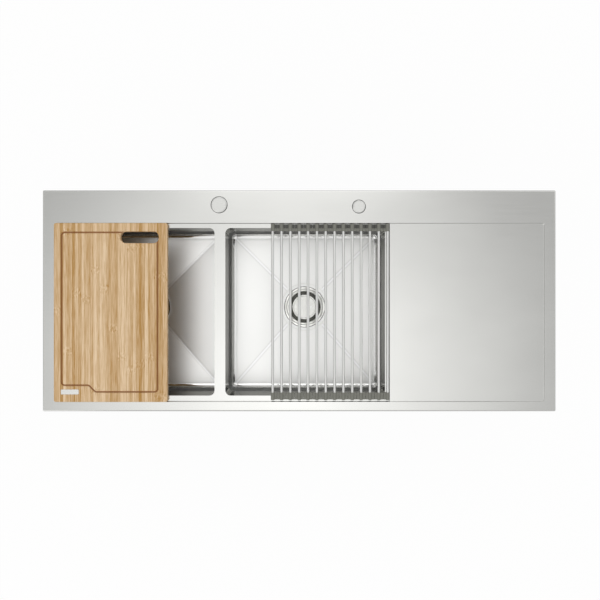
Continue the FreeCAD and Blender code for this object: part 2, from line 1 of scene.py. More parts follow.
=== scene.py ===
import bpy
import numpy as np
from bpy.props import FloatProperty, FloatVectorProperty, PointerProperty
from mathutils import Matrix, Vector


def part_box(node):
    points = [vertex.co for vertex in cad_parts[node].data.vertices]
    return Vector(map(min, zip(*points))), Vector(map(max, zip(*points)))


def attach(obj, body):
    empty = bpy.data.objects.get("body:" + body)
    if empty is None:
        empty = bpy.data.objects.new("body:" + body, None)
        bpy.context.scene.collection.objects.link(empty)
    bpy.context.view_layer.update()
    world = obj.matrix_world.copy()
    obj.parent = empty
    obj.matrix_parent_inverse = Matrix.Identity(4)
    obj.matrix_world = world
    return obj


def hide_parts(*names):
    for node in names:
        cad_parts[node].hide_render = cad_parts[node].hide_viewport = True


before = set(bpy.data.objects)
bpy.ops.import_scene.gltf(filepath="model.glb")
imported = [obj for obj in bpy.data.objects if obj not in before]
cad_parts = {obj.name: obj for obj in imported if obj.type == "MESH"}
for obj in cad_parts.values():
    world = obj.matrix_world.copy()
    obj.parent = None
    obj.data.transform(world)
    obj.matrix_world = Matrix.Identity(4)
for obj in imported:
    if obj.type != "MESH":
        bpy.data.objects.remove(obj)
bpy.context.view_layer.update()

bl_info = {
    "name": "Inset kitchen sink",
    "version": (1, 0, 0),
    "blender": (4, 5, 0),
    "location": "3D View > Sidebar > Sink",
    "description": "Dresses a two-bowl inset sink with its board, rack and drain fittings",
    "category": "Object",
}

MM = 0.001
RODS = 14
FULL = 2 * np.pi
# Smallest radius of a turned outline, in millimetres, where one flat face closes its middle
HUB = 0.05
# Scales of object coordinates: as they are, and without their height
AS_IS = (1.0, 1.0, 1.0)
IN_PLAN = (1.0, 1.0, 0.0)
# Depth of the scratches that a belt or a polishing mop leaves
SCRATCH = 0.02 * MM
# Ranges that hold most of a noise's values, and nearly all of them
MOST = {"From Min": 0.3, "From Max": 0.7}
NEARLY_ALL = {"From Min": 0.25, "From Max": 0.75}
EASED = {"interpolation_type": "SMOOTHSTEP"}
SHADED = {"data_type": "RGBA", "blend_type": "MULTIPLY"}


def linear(code):
    """Turn an sRGB hex colour into linear red, green, blue and alpha."""
    parts = [int(code[i:i + 2], 16) / 255 for i in (0, 2, 4)]
    bent = [p / 12.92 if p <= 0.04045 else ((p + 0.055) / 1.055) ** 2.4 for p in parts]
    return (*bent, 1.0)


def colour(name, about, code):
    """A colour property whose default is an sRGB hex value."""
    return FloatVectorProperty(
        name=name, description=about, subtype="COLOR", size=4, min=0, max=1, default=linear(code))


def length(name, about, millimetres):
    """A length property whose default is given in millimetres."""
    return FloatProperty(
        name=name, description=about, unit="LENGTH", subtype="DISTANCE", default=millimetres * MM)


def share(name, about, value):
    """A property between nothing and one."""
    return FloatProperty(
        name=name, description=about, subtype="FACTOR", min=0, max=1, default=value)


def lamp_power(name, about, watts):
    """A lamp's power."""
    return FloatProperty(name=name, description=about, unit="POWER", default=watts)


class SteelSettings(bpy.types.PropertyGroup):
    deck: colour("Deck steel", "Colour of the brushed deck sheet", "CBCBC8")
    deck_roughness: share("Deck roughness", "How far the deck's reflections blur", 0.13)
    bowl: colour("Bowl steel", "Colour of the satin bowls", "F8F8F6")
    left_roughness: share("Left roughness", "How far the left bowl's floor blurs", 0.33)
    right_roughness: share("Right roughness", "How far the right bowl's floor blurs", 0.35)
    bowl_corner: length("Bowl corner", "Inner corner radius of the bowls", 12)
    outside: colour("Bowl outside", "Colour of the unground outside of the bowls", "A6A7A5")
    outside_roughness: share("Outside roughness", "How far the bowls' outside blurs", 0.4)
    # Painted highlight: a white line along the bowl floors' pressed creases, with its width, start
    # and inset below.
    crease_highlight: colour("Crease", "Colour of the floors' polished creases", "FFFFFF")
    crease_width: length("Crease width", "Width of a polished crease", 4)
    crease_start: length("Crease start", "Distance along X from the drain to a crease's start", 43)
    crease_inset: length("Crease inset", "Distance from a wall to a crease's end", 14)
    wall_roughness: share("Wall roughness", "How far the bowl walls' reflections blur", 0.06)
    foot_roughness: share("Foot roughness", "How far the dull foot of the walls blurs", 0.3)
    # Painted shade: the grazing colours below are Specular Tints that darken what the walls mirror,
    # grey above and near black at the foot.
    wall_shade_tint: colour("Wall graze", "What the walls mirror at a grazing look", "74746F")
    foot_shade_tint: colour("Foot graze", "What their dull foot mirrors at a grazing look", "0A0A0A")
    wall_foot: length("Wall foot", "Height below which the bowls' walls are dull", -108)
    fillet_top: length("Fillet top", "Height where the walls start to curve into the floor", -207)
    drain: colour("Drain steel", "Colour of the polished drain fittings", "DEDEDA")
    drain_roughness: share("Drain roughness", "How far the drain fittings' reflections blur", 0.1)
    cap: colour("Cap steel", "Colour of the baskets' satin caps", "DCDCD8")
    # Radius outside which a painted shade line darkens each drain flange's edge.
    flange_shade_radius: length("Flange seam", "Radius where a drain flange's edge turns down", 49.4)
    # Painted shade: this dark grey fills the drains' cups below their polish, and darkens the sheet
    # beside the bowls' creases.
    painted_shade: colour("Dull steel", "Colour of the unpolished inside of the drains", "4A4A46")
    rod: colour("Rod steel", "Colour of the rack's tubes", "E0E0DE")
    rod_roughness: share("Rod roughness", "How far the tubes' reflections blur", 0.5)
    zinc: colour("Zinc", "Colour of plated rails and clips", "A9ACB0")
    screw: colour("Screw steel", "Colour of the clip screws", "C9CACB")
    weld_flange: length("Weld flange", "Width of the bowls' flange with the sheet", 6)
    brush_pitch: length("Brush pitch", "Distance between the brush lines", 0.9)


class BambooSettings(bpy.types.PropertyGroup):
    strip: colour("Light bamboo", "Colour of the palest fibres", "E8CDA9")
    dark: colour("Dark bamboo", "Colour of the darkest fibres", "B08443")
    joint: colour("Glue line", "Colour of the glue between two planks", "9C7040")
    # Painted shade: the dark colour of the juice groove's bottom.
    groove_shade: colour("Groove", "Colour of the juice groove's oiled bottom", "87562A")
    strip_width: length("Plank width", "Width of one plank of three slats", 20.4)
    fibre_pitch: length("Fibre pitch", "Distance between the fibre lines", 1.5)
    joint_pitch: length("Joint pitch", "Distance between the cane's joints", 270)


class SoftSettings(bpy.types.PropertyGroup):
    silicone: colour("Silicone", "Colour of the rack's ends", "77776F")
    foam: colour("Foam", "Colour of the sealing foam", "2A2A2A")
    rubber: colour("Rubber", "Colour of seals and gaskets", "1B1B1B")
    pad: colour("Sound pad", "Colour of the sound-deadening pads", "3C3D3F")
    fibre: colour("Fibre ring", "Colour of the slip rings", "8C8273")
    plastic: colour("Waste plastic", "Colour of nuts and tailpieces", "EDEDEB")


class StageSettings(bpy.types.PropertyGroup):
    picture_width: length("Picture width", "Width of the picture at the deck", 1356)
    camera_height: length("Camera height", "Height of the camera over the deck", 2225)
    aim_x: length("Aim X", "Middle of the picture along X", 1.8)
    aim_y: length("Aim Y", "Middle of the picture along Y", 1.8)
    floor_gap: length("Floor gap", "Air between the tailpieces and the floor", 40)
    key_power: lamp_power("Key", "Power of the front left lamp", 24)
    fill_power: lamp_power("Fill", "Power of the rear right lamp", 15)


class RackSettings(bpy.types.PropertyGroup):
    pitch: length("Pitch", "Distance between two tubes", 20)
    first_x: length("First tube", "Place of the first tube along X", 200)
    height: length("Height", "Height of the tubes' middles", 2.5)
    bump: length("Bump", "Radius of the silicone round each tube", 4.2)
    web: length("Web", "Thickness of the web between two bumps", 2.4)
    reach: length("Reach", "Distance from a tube to the end of its web", 9.85)
    width: length("Width", "Width of a silicone end along the tube", 17.5)
    scallop: length("Scallop", "Distance the web stays behind the bump", 1.3)
    pocket: length("Pocket", "Width of the sunk pocket between two bumps", 9.4)
    front: length("Front", "Outer edge of the front ends", -224.7)
    rear: length("Rear", "Outer edge of the rear ends", 174.5)


class FixingSettings(bpy.types.PropertyGroup):
    seal_inset: length("Seal inset", "Distance from the rim's edge to the middle of the foam", 7.5)
    seal_width: length("Seal width", "Width of the foam strip", 8)
    seal_height: length("Seal height", "Height of the foam strip", 4)
    rail_inset: length("Rail inset", "Distance from the rim's edge to a rail", 12)
    screw_radius: length("Screw radius", "Radius of a clip screw's thread", 2.5)
    head_radius: length("Head radius", "Radius of a clip screw's head", 4.5)
    head_height: length("Head height", "Height of a clip screw's head", 2.5)
    screw_face: length("Screw face", "Distance from the rail to the underside of a head", 2.7)
    screw_tail: length("Screw tail", "Length of thread behind the rail", 4)
    screw_drop: length("Screw height", "Height of the screws' middles", -6)
    screw_pitch: length("Screw pitch", "Distance between two threads of a screw", 1.1)
    pad_length: length("Pad length", "Length of a sound pad", 220)
    pad_height: length("Pad height", "Height of a sound pad", 110)
    pad_thickness: length("Pad thickness", "Thickness of a sound pad", 3)
    pad_corner: length("Pad corner", "Corner radius of a sound pad", 12)
    pad_middle: length("Pad middle", "Height of a sound pad's middle", -118)


def add(tree, kind, sockets=None, **attributes):
    """Add one node. Each socket gets a value, or a link from another node's first output in use
    or from a named one, given as a pair of the node and the name."""
    made = tree.nodes.new("ShaderNode" + kind)
    for name, value in attributes.items():
        setattr(made, name, value)
    for key, value in (sockets or {}).items():
        source, output = value if isinstance(value, tuple) and len(value) == 2 else (value, None)
        if not isinstance(source, bpy.types.Node):
            made.inputs[key].default_value = value
            continue
        if output is None:
            output = next(socket.name for socket in source.outputs if socket.enabled)
        tree.links.new(source.outputs[output], made.inputs[key])
    return made


def new_material(name, constants, prepare):
    """Make a material with one Principled shader; prepare returns what else feeds it."""
    material = bpy.data.materials.new(name)
    material.use_nodes = True
    tree = material.node_tree
    tree.nodes.clear()
    shader = add(tree, "BsdfPrincipled", {**prepare(tree), **constants})
    add(tree, "OutputMaterial", {"Surface": shader})
    return material


def place(tree, scale, location=(0.0, 0.0, 0.0)):
    """Object coordinates moved and multiplied along each axis."""
    where = add(tree, "TexCoord")
    return add(tree, "Mapping", {"Scale": scale, "Location": location, "Vector": (where, "Object")})


def streaks(tree, pitch, along):
    """Noise drawn out eighty times longer along one axis than across it."""
    across = 1.0 / pitch
    scale = [across, across, across]
    scale[along] = across / 80
    where = place(tree, tuple(scale))
    return add(tree, "TexNoise", {"Scale": 1.0, "Detail": 3.0, "Roughness": 0.6, "Vector": where})


def brushed_steel(name, tone, roughness, pitch, along=0, streak=0.14, bump=0.08, painted_edge_shade=None):
    """Cold-rolled stainless steel finished with an abrasive belt: long fine streaks in one
    direction break up the reflections and give the sheet its soft silver look. The real lines
    are about 0.2 mm apart and are drawn coarser here so that they show. Outside a given middle
    and radius the sheet's edge is darkened: painted shade that outlines it."""
    def prepare(tree):
        fine = streaks(tree, pitch, along)
        rough = add(tree, "MapRange", {**NEARLY_ALL, "To Min": roughness * (1 - streak),
                                       "To Max": roughness * (1 + streak), "Value": fine})
        hand = place(tree, (6.0, 9.0, 6.0))
        cloud = add(tree, "TexNoise", {"Scale": 1.0, "Detail": 2.0, "Vector": hand})
        shade = add(tree, "MapRange", {**MOST, "To Min": 0.975, "To Max": 1.015, "Value": cloud})
        line = add(tree, "MapRange", {**MOST, "To Min": 0.985, "To Max": 1.012, "Value": fine})
        both_shades = add(tree, "Math", {0: shade, 1: line}, operation="MULTIPLY")
        # Painted shade: outside the given radius the edge is darkened, which outlines a cover.
        if painted_edge_shade:
            spot = place(tree, IN_PLAN, (-painted_edge_shade[0], -painted_edge_shade[1], 0.0))
            radius = add(tree, "VectorMath", {0: spot}, operation="LENGTH")
            ease = 0.2 * MM
            edge = add(tree, "MapRange", {"From Min": painted_edge_shade[2] - ease, "From Max": painted_edge_shade[2] + ease,
                                          "To Min": 1.0, "To Max": 0.06, "Value": radius})
            both_shades = add(tree, "Math", {0: both_shades, 1: edge}, operation="MULTIPLY")
        base = add(tree, "Mix", {"Factor": 1.0, "A": tone, "B": both_shades}, **SHADED)
        grain = add(tree, "Bump", {"Strength": bump, "Distance": SCRATCH, "Height": fine})
        return {"Base Color": base, "Roughness": rough, "Normal": grain}
    return new_material(name, {"Metallic": 1.0}, prepare)


def satin_bowl_steel(name, steel, roughness, centre, low, high):
    """Folded stainless sheet: the floor is satin, so that it blurs the light into one even
    glow, and the walls were ground upright and finer, so that they mirror the floor's edge
    sharply. A grey Specular Tint darkens what the walls mirror at a grazing look: painted shade
    that makes them look darker from above. The walls that face along X have their streaks along
    Y. The foot of the walls is rougher and has a near black Specular Tint, painted shade that
    makes it black at a grazing look. The outside was never ground and is a flatter grey: it is
    every face that points down or lies past half a millimetre from the inner walls, whose plan
    is a rectangle with round corners. The pressed creases from the drain to the corners carry a
    painted highlight, a white line: each is where a point's distance from the straight line
    between the drain recess and a corner of the floor is under half the line's width, and the
    sheet beside it is a little darker, painted shade."""
    def prepare(tree):
        foot_ease, fillet_ease, sheet_gap = 6 * MM, 3 * MM, 0.5 * MM
        surface = add(tree, "NewGeometry")
        facing = add(tree, "SeparateXYZ", {"Vector": (surface, "Normal")})
        across = add(tree, "Math", {0: (facing, "X")}, operation="ABSOLUTE")
        side = add(tree, "Math", {0: across, 1: 0.7}, operation="GREATER_THAN")
        fine = add(tree, "Mix", {"Factor": side, "A": streaks(tree, steel.brush_pitch, 0),
                                 "B": streaks(tree, steel.brush_pitch, 1)}, data_type="FLOAT")
        level = add(tree, "MapRange", {"From Min": 0.93, "From Max": 0.995, "Value": (facing, "Z")},
                    **EASED)
        where = place(tree, AS_IS, (-centre[0], -centre[1], 0.0))
        plan = add(tree, "SeparateXYZ", {"Vector": where})
        # Painted shade: below the wall foot height the walls get a near black Specular Tint, and a
        # higher roughness too.
        painted_shade = add(tree, "MapRange", {"From Min": steel.wall_foot - foot_ease,
                                      "From Max": steel.wall_foot + foot_ease, "To Min": 1.0,
                                      "To Max": 0.0, "Value": (plan, "Z")}, **EASED)
        straight = add(tree, "MapRange", {"From Min": steel.fillet_top - fillet_ease,
                                          "From Max": steel.fillet_top + fillet_ease,
                                          "Value": (plan, "Z")})
        foot = add(tree, "Math", {0: painted_shade, 1: straight}, operation="MULTIPLY")
        wall = add(tree, "Mix", {"Factor": foot, "A": steel.wall_roughness,
                                 "B": steel.foot_roughness}, data_type="FLOAT")
        rough = add(tree, "Mix", {"Factor": level, "A": wall, "B": roughness}, data_type="FLOAT")
        spread = add(tree, "MapRange", {**NEARLY_ALL, "To Min": 0.9, "To Max": 1.1, "Value": fine})
        streaked = add(tree, "Math", {0: rough, 1: spread}, operation="MULTIPLY")
        ends = [add(tree, "Math", {0: (plan, axis)}, operation="ABSOLUTE") for axis in "XY"]
        folded = add(tree, "CombineXYZ", {"Z": 1.0, "X": ends[0], "Y": ends[1]})
        start = steel.crease_start
        lines = []
        for edge in (high[1] - centre[1], centre[1] - low[1]):
            run = Vector((high[0] - centre[0] - steel.crease_inset - start,
                          edge - steel.crease_inset - start)).normalized()
            lines.append(add(tree, "VectorMath",
                             {0: folded, 1: (run.y, -run.x, start * (run.x - run.y))},
                             operation="DOT_PRODUCT"))
        rear = add(tree, "Math", {0: (plan, "Y"), 1: 0.0}, operation="GREATER_THAN")
        off = add(tree, "Mix", {"Factor": rear, "A": lines[1], "B": lines[0]}, data_type="FLOAT")
        apart = add(tree, "Math", {0: off}, operation="ABSOLUTE")
        # Painted highlight: a white line along each of the creases, and beside it a darker band of
        # painted shade.
        near = add(tree, "MapRange", {"From Min": steel.crease_width * 0.2,
                                      "From Max": steel.crease_width * 0.7, "To Min": 1.0,
                                      "To Max": 0.0, "Value": apart}, **EASED)
        outside = add(tree, "Math", {0: ends[0], 1: start}, operation="GREATER_THAN")
        floor_only = add(tree, "Math", {0: outside, 1: level}, operation="MULTIPLY")
        crease_highlight = add(tree, "Math", {0: near, 1: floor_only}, operation="MULTIPLY")
        beside = add(tree, "MapRange", {"From Min": steel.crease_width * 0.7,
                                        "From Max": steel.crease_width * 1.6, "To Min": 0.12,
                                        "To Max": 0.0, "Value": apart}, **EASED)
        crease_shade = add(tree, "Math", {0: beside, 1: floor_only}, operation="MULTIPLY")
        # Painted shade beside the creases, then the painted highlight on them.
        sheet = add(tree, "Mix", {"Factor": crease_shade, "A": steel.bowl, "B": steel.painted_shade},
                    data_type="RGBA")
        tone = add(tree, "Mix", {"Factor": crease_highlight, "A": sheet, "B": steel.crease_highlight}, data_type="RGBA")
        middle = (low + high) / 2
        half = (high - low) / 2
        corner = steel.bowl_corner
        spot = place(tree, IN_PLAN, (-middle.x, -middle.y, 0.0))
        reach = add(tree, "VectorMath", {0: spot}, operation="ABSOLUTE")
        past = add(tree, "VectorMath", {0: reach, 1: (half.x - corner, half.y - corner, 0.0)},
                   operation="SUBTRACT")
        held = add(tree, "VectorMath", {0: past, 1: (0.0, 0.0, 0.0)}, operation="MAXIMUM")
        round_way = add(tree, "VectorMath", {0: held}, operation="LENGTH")
        past_wall = add(tree, "Math", {0: round_way, 1: corner + sheet_gap},
                        operation="GREATER_THAN")
        under = add(tree, "Math", {0: (facing, "Z"), 1: -0.05}, operation="LESS_THAN")
        outer = add(tree, "Math", {0: past_wall, 1: under}, operation="MAXIMUM")
        colour_with_painted_light = add(tree, "Mix", {"Factor": outer, "A": tone, "B": steel.outside}, data_type="RGBA")
        blurred = add(tree, "Mix", {"Factor": outer, "A": streaked, "B": steel.outside_roughness},
                      data_type="FLOAT")
        line = add(tree, "MapRange", {**MOST, "To Min": 0.99, "To Max": 1.005, "Value": fine})
        base = add(tree, "Mix", {"Factor": 1.0, "A": colour_with_painted_light, "B": line}, **SHADED)
        grain = add(tree, "Bump", {"Strength": 0.08, "Distance": SCRATCH, "Height": fine})
        # Painted shade: the walls' Specular Tint is grey above and near black at the foot; the
        # floor and its fillet keep white.
        painted_wall_shade = add(tree, "Mix", {"Factor": painted_shade, "A": steel.wall_shade_tint, "B": steel.foot_shade_tint},
                        data_type="RGBA")
        painted_shade_tint = add(tree, "Mix", {"Factor": straight, "A": linear("FFFFFF"), "B": painted_wall_shade},
                   data_type="RGBA")
        return {"Base Color": base, "Roughness": blurred, "Normal": grain, "Specular Tint": painted_shade_tint}
    return new_material(name, {"Metallic": 1.0}, prepare)


def turned_steel(name, tone, roughness, centre, painted_shade, top, bottom, painted_edge_shade):
    """Deep-drawn stainless steel polished on a spindle: fine rings round the drain's middle,
    drawn 0.7 mm apart so that they show, pull the light into a faint cross. It is the brightest
    and sharpest metal of the sink. From the top height down to the bottom one the colour eases
    into a dark grey, painted shade that makes the gap round the cap look deep and dark. Outside
    the given radius the edge is darkened too, a painted shade line round the flange's edge."""
    def prepare(tree):
        ring_pitch = 0.7 * MM
        ease = 0.3 * MM
        axes = add(tree, "SeparateXYZ", {"Vector": place(tree, AS_IS)})
        # Painted shade: below the top height the colour eases into the dark grey, so that the gap
        # round the cap looks deep.
        level = add(tree, "MapRange", {"From Min": bottom, "From Max": top, "Value": (axes, "Z")},
                    **EASED)
        colour_with_painted_light = add(tree, "Mix", {"Factor": level, "A": painted_shade, "B": tone}, data_type="RGBA")
        where = place(tree, IN_PLAN, (-centre[0], -centre[1], 0.0))
        radius = add(tree, "VectorMath", {0: where}, operation="LENGTH")
        scaled = add(tree, "Math", {0: radius, 1: 1 / ring_pitch}, operation="MULTIPLY")
        rings = add(tree, "TexNoise", {"Scale": 1.0, "Detail": 3.0, "W": scaled},
                    noise_dimensions="1D")
        rough = add(tree, "MapRange", {**NEARLY_ALL, "To Min": roughness * 0.7,
                                       "To Max": roughness * 1.35, "Value": rings})
        line = add(tree, "MapRange", {**MOST, "To Min": 0.94, "To Max": 1.02, "Value": rings})
        # Painted shade: outside the given radius a dark line rings the flange's edge.
        edge = add(tree, "MapRange", {"From Min": painted_edge_shade, "From Max": painted_edge_shade + ease, "To Min": 1.0,
                                      "To Max": 0.12, "Value": radius})
        shade = add(tree, "Math", {0: line, 1: edge}, operation="MULTIPLY")
        base = add(tree, "Mix", {"Factor": 1.0, "A": colour_with_painted_light, "B": shade}, **SHADED)
        grain = add(tree, "Bump", {"Strength": 0.12, "Distance": SCRATCH, "Height": rings})
        return {"Base Color": base, "Roughness": rough, "Normal": grain}
    return new_material(name, {"Metallic": 1.0}, prepare)


def zinc_plate(name, tone, roughness):
    """Mild steel with bright zinc plate: bluish grey, a little cloudy, with the faint crystal
    patches of the plate about 6 mm across."""
    def prepare(tree):
        patch = 6 * MM
        where = place(tree, (1 / patch,) * 3)
        patches = add(tree, "TexVoronoi", {"Scale": 1.0, "Vector": where})
        level = add(tree, "SeparateColor", {"Color": (patches, "Color")})
        shade = add(tree, "MapRange", {"To Min": 0.86, "To Max": 1.06, "Value": (level, "Red")})
        rough = add(tree, "MapRange", {"To Min": roughness * 0.8, "To Max": roughness * 1.2,
                                       "Value": (level, "Green")})
        base = add(tree, "Mix", {"Factor": 1.0, "A": tone, "B": shade}, **SHADED)
        return {"Base Color": base, "Roughness": rough}
    return new_material(name, {"Metallic": 1.0}, prepare)


def moulded(name, tone, roughness, grit, depth=0.05, contrast=0.06, level=0.5, pocket=None):
    """Moulded rubber or plastic: one even colour that clouds a little from place to place, with
    the mould's fine texture at the given grit in millimetres. Below a given pocket height the
    colour is darkened: painted shade in the pockets."""
    def prepare(tree):
        cloud_size = 35 * MM
        pocket_ease = 0.5
        where = place(tree, (1 / (grit * MM),) * 3)
        grain = add(tree, "TexNoise", {"Scale": 1.0, "Detail": 4.0, "Vector": where})
        wide = place(tree, (1 / cloud_size,) * 3)
        cloud = add(tree, "TexNoise", {"Scale": 1.0, "Detail": 3.0, "Vector": wide})
        mixed = add(tree, "Math", {0: grain, 1: cloud})
        shade = add(tree, "MapRange", {"From Min": 0.7, "From Max": 1.3, "To Min": 1 - contrast,
                                       "To Max": 1 + contrast, "Value": mixed})
        # Painted shade: below the pocket height the colour is darkened.
        if pocket:
            axes = add(tree, "SeparateXYZ", {"Vector": place(tree, AS_IS)})
            sunk = add(tree, "MapRange", {"From Min": pocket * MM,
                                          "From Max": (pocket + pocket_ease) * MM, "To Min": 0.36,
                                          "To Max": 1.0, "Value": (axes, "Z")})
            shade = add(tree, "Math", {0: shade, 1: sunk}, operation="MULTIPLY")
        rough = add(tree, "MapRange", {**MOST, "To Min": roughness * 0.88,
                                       "To Max": min(1.0, roughness * 1.12), "Value": cloud})
        base = add(tree, "Mix", {"Factor": 1.0, "A": tone, "B": shade}, **SHADED)
        bump = add(tree, "Bump", {"Strength": 0.3, "Distance": depth * MM, "Height": grain})
        return {"Base Color": base, "Roughness": rough, "Normal": bump}
    return new_material(name, {"Specular IOR Level": level}, prepare)


def closed_cell_foam(name, tone):
    """Black closed-cell sealing foam: dull, with 0.8 mm cells that show as small pits."""
    def prepare(tree):
        cell = 0.8 * MM
        where = place(tree, (1 / cell,) * 3)
        cells = add(tree, "TexVoronoi", {"Scale": 1.0, "Vector": where})
        shade = add(tree, "MapRange", {"From Max": 0.8, "To Min": 0.6, "To Max": 1.25,
                                       "Value": cells})
        base = add(tree, "Mix", {"Factor": 1.0, "A": tone, "B": shade}, **SHADED)
        bump = add(tree, "Bump", {"Strength": 0.6, "Distance": 0.2 * MM, "Height": cells})
        return {"Base Color": base, "Normal": bump}
    return new_material(name, {"Roughness": 0.92, "Specular IOR Level": 0.25}, prepare)


def oiled_bamboo(name, bamboo, top):
    """Laminated bamboo, oiled: planks along Y glued side by side, each of three thin slats that
    are lighter or darker than the next, with straight fibre bundles that show as fine lines on
    the faces and as dots on the ends. The cane's joints are small light and dark flecks across
    single planks. The bottom of the juice groove is darkened: painted shade."""
    def prepare(tree):
        where = add(tree, "TexCoord")
        axes = add(tree, "SeparateXYZ", {"Vector": (where, "Object")})
        count = add(tree, "Math", {0: (axes, "X"), 1: bamboo.strip_width}, operation="DIVIDE")
        number = add(tree, "Math", {0: count}, operation="FLOOR")
        part = add(tree, "Math", {0: count}, operation="FRACT")
        chance = add(tree, "TexWhiteNoise", {"W": number}, noise_dimensions="1D")
        chances = add(tree, "SeparateColor", {"Color": (chance, "Color")})
        slat_count = add(tree, "Math", {0: count, 1: 3.0}, operation="MULTIPLY")
        slat = add(tree, "Math", {0: slat_count}, operation="FLOOR")
        slat_chance = add(tree, "TexWhiteNoise", {"W": slat}, noise_dimensions="1D")
        shift = add(tree, "VectorMath", {0: (slat_chance, "Color"), "Scale": 40.0},
                    operation="SCALE")
        noises = []
        fibre_grid = (bamboo.fibre_pitch, 40 * MM)
        broad_grid = (5 * MM, 230 * MM)
        fleck_grid = (2.2 * MM, 8 * MM)
        for across, along in (fibre_grid, broad_grid, fleck_grid):
            spot = place(tree, (1 / across, 1 / along, 1 / across))
            moved = add(tree, "VectorMath", {0: spot, 1: shift})
            noises.append(add(tree, "TexNoise", {"Scale": 1.0, "Detail": 3.0, "Roughness": 0.6,
                                                 "Distortion": 0.2, "Vector": moved}))
        fibres, broad, flecks = noises
        along = add(tree, "Math", {0: (axes, "Y"), 1: 1 / bamboo.joint_pitch}, operation="MULTIPLY")
        slid = add(tree, "Math", {0: along, 1: (chances, "Green")})
        ahead = add(tree, "Math", {0: slid}, operation="FRACT")
        apart = add(tree, "Math", {0: ahead, 1: 0.5}, operation="SUBTRACT")
        far = add(tree, "Math", {0: apart}, operation="ABSOLUTE")
        joint = add(tree, "MapRange", {"From Min": 0.015, "From Max": 0.06, "To Min": 2.4,
                                       "To Max": 0.0, "Value": far}, **EASED)
        dark = add(tree, "Math", {0: (chances, "Red"), 1: 0.46, 2: -0.14}, operation="MULTIPLY_ADD")
        for source, amount in ((slat_chance, 0.5), (fibres, 1.7), (broad, 1.3)):
            centred = add(tree, "Math", {0: source, 1: 0.5}, operation="SUBTRACT")
            dark = add(tree, "Math", {0: centred, 1: amount, 2: dark}, operation="MULTIPLY_ADD")
        fleck = add(tree, "Math", {0: flecks, 1: 0.5}, operation="SUBTRACT")
        flecked = add(tree, "Math", {0: fleck, 1: joint, 2: dark}, operation="MULTIPLY_ADD")
        eased = add(tree, "Math", {0: flecked, 1: 0.53})
        wood = add(tree, "Mix", {"Factor": eased, "A": bamboo.strip, "B": bamboo.dark},
                   data_type="RGBA", clamp_factor=True)
        middle = add(tree, "Math", {0: part, 1: 0.5}, operation="SUBTRACT")
        edge = add(tree, "Math", {0: middle}, operation="ABSOLUTE")
        glue = add(tree, "MapRange", {"From Min": 0.47, "From Max": 0.495, "To Min": 0.0,
                                      "To Max": 0.3, "Value": edge})
        glued = add(tree, "Mix", {"Factor": glue, "A": wood, "B": bamboo.joint}, data_type="RGBA")
        surface = add(tree, "NewGeometry")
        facing = add(tree, "SeparateXYZ", {"Vector": (surface, "Normal")})
        upward = add(tree, "Math", {0: (facing, "Z"), 1: 0.3}, operation="GREATER_THAN")
        # Painted shade: faces that look up and lie 1.1 to 1.9 mm below the top, the groove's
        # bottom, take the dark colour.
        sunk = add(tree, "MapRange", {"From Min": top - 1.9 * MM, "From Max": top - 1.1 * MM,
                                      "To Min": 0.9, "To Max": 0.0, "Value": (axes, "Z")})
        groove_shade = add(tree, "Math", {0: sunk, 1: upward}, operation="MULTIPLY")
        oiled = add(tree, "Mix", {"Factor": groove_shade, "A": glued, "B": bamboo.groove_shade},
                    data_type="RGBA")
        rough = add(tree, "MapRange", {**MOST, "To Min": 0.48, "To Max": 0.62, "Value": fibres})
        bump = add(tree, "Bump", {"Strength": 0.25, "Distance": 0.1 * MM, "Height": fibres})
        return {"Base Color": oiled, "Roughness": rough, "Normal": bump}
    return new_material(name, {"Specular IOR Level": 0.35}, prepare)


def give(material, *nodes):
    """Assign one material to CAD nodes."""
    for name in nodes:
        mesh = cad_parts[name].data
        mesh.materials.clear()
        mesh.materials.append(material)


def smooth(value):
    """Ease from nothing to one: three times the square less twice the cube."""
    held = np.clip(value, 0, 1)
    return held * held * (3 - 2 * held)


def rounded_loop(count, power):
    """A closed loop between a circle and a square: the cosine and the sine of an angle, each
    raised to two over the power with its sign kept."""
    angle = np.linspace(0, FULL, count, endpoint=False)
    c, s = np.cos(angle), np.sin(angle)
    return np.sign(c) * np.abs(c) ** (2 / power), np.sign(s) * np.abs(s) ** (2 / power)


def grid_faces(points, wrap):
    """Four-cornered faces between neighbouring points of a grid whose columns close on
    themselves. The rows close too where wrap says so, and else end in one flat face each. The
    order of the corners is turned round where the faces enclose a negative volume."""
    rows, columns = points.shape[:2]
    index = np.arange(rows * columns).reshape(rows, columns)
    lines = np.vstack([index, index[:1]]) if wrap else index
    lines = np.hstack([lines, lines[:, :1]])
    quads = np.stack([lines[:-1, :-1], lines[:-1, 1:], lines[1:, 1:], lines[1:, :-1]], axis=-1)
    quads = quads.reshape(-1, 4)
    flat = points.reshape(-1, 3) - points.reshape(-1, 3).mean(axis=0)
    a, b, c, d = (flat[quads[:, i]] for i in range(4))
    volume = np.einsum("ij,ij->", a, np.cross(b, c)) + np.einsum("ij,ij->", a, np.cross(c, d))
    faces = quads.tolist()
    if not wrap:
        faces += [index[0, ::-1].tolist(), index[-1].tolist()]
    if volume < 0:
        faces = [face[::-1] for face in faces]
    return faces


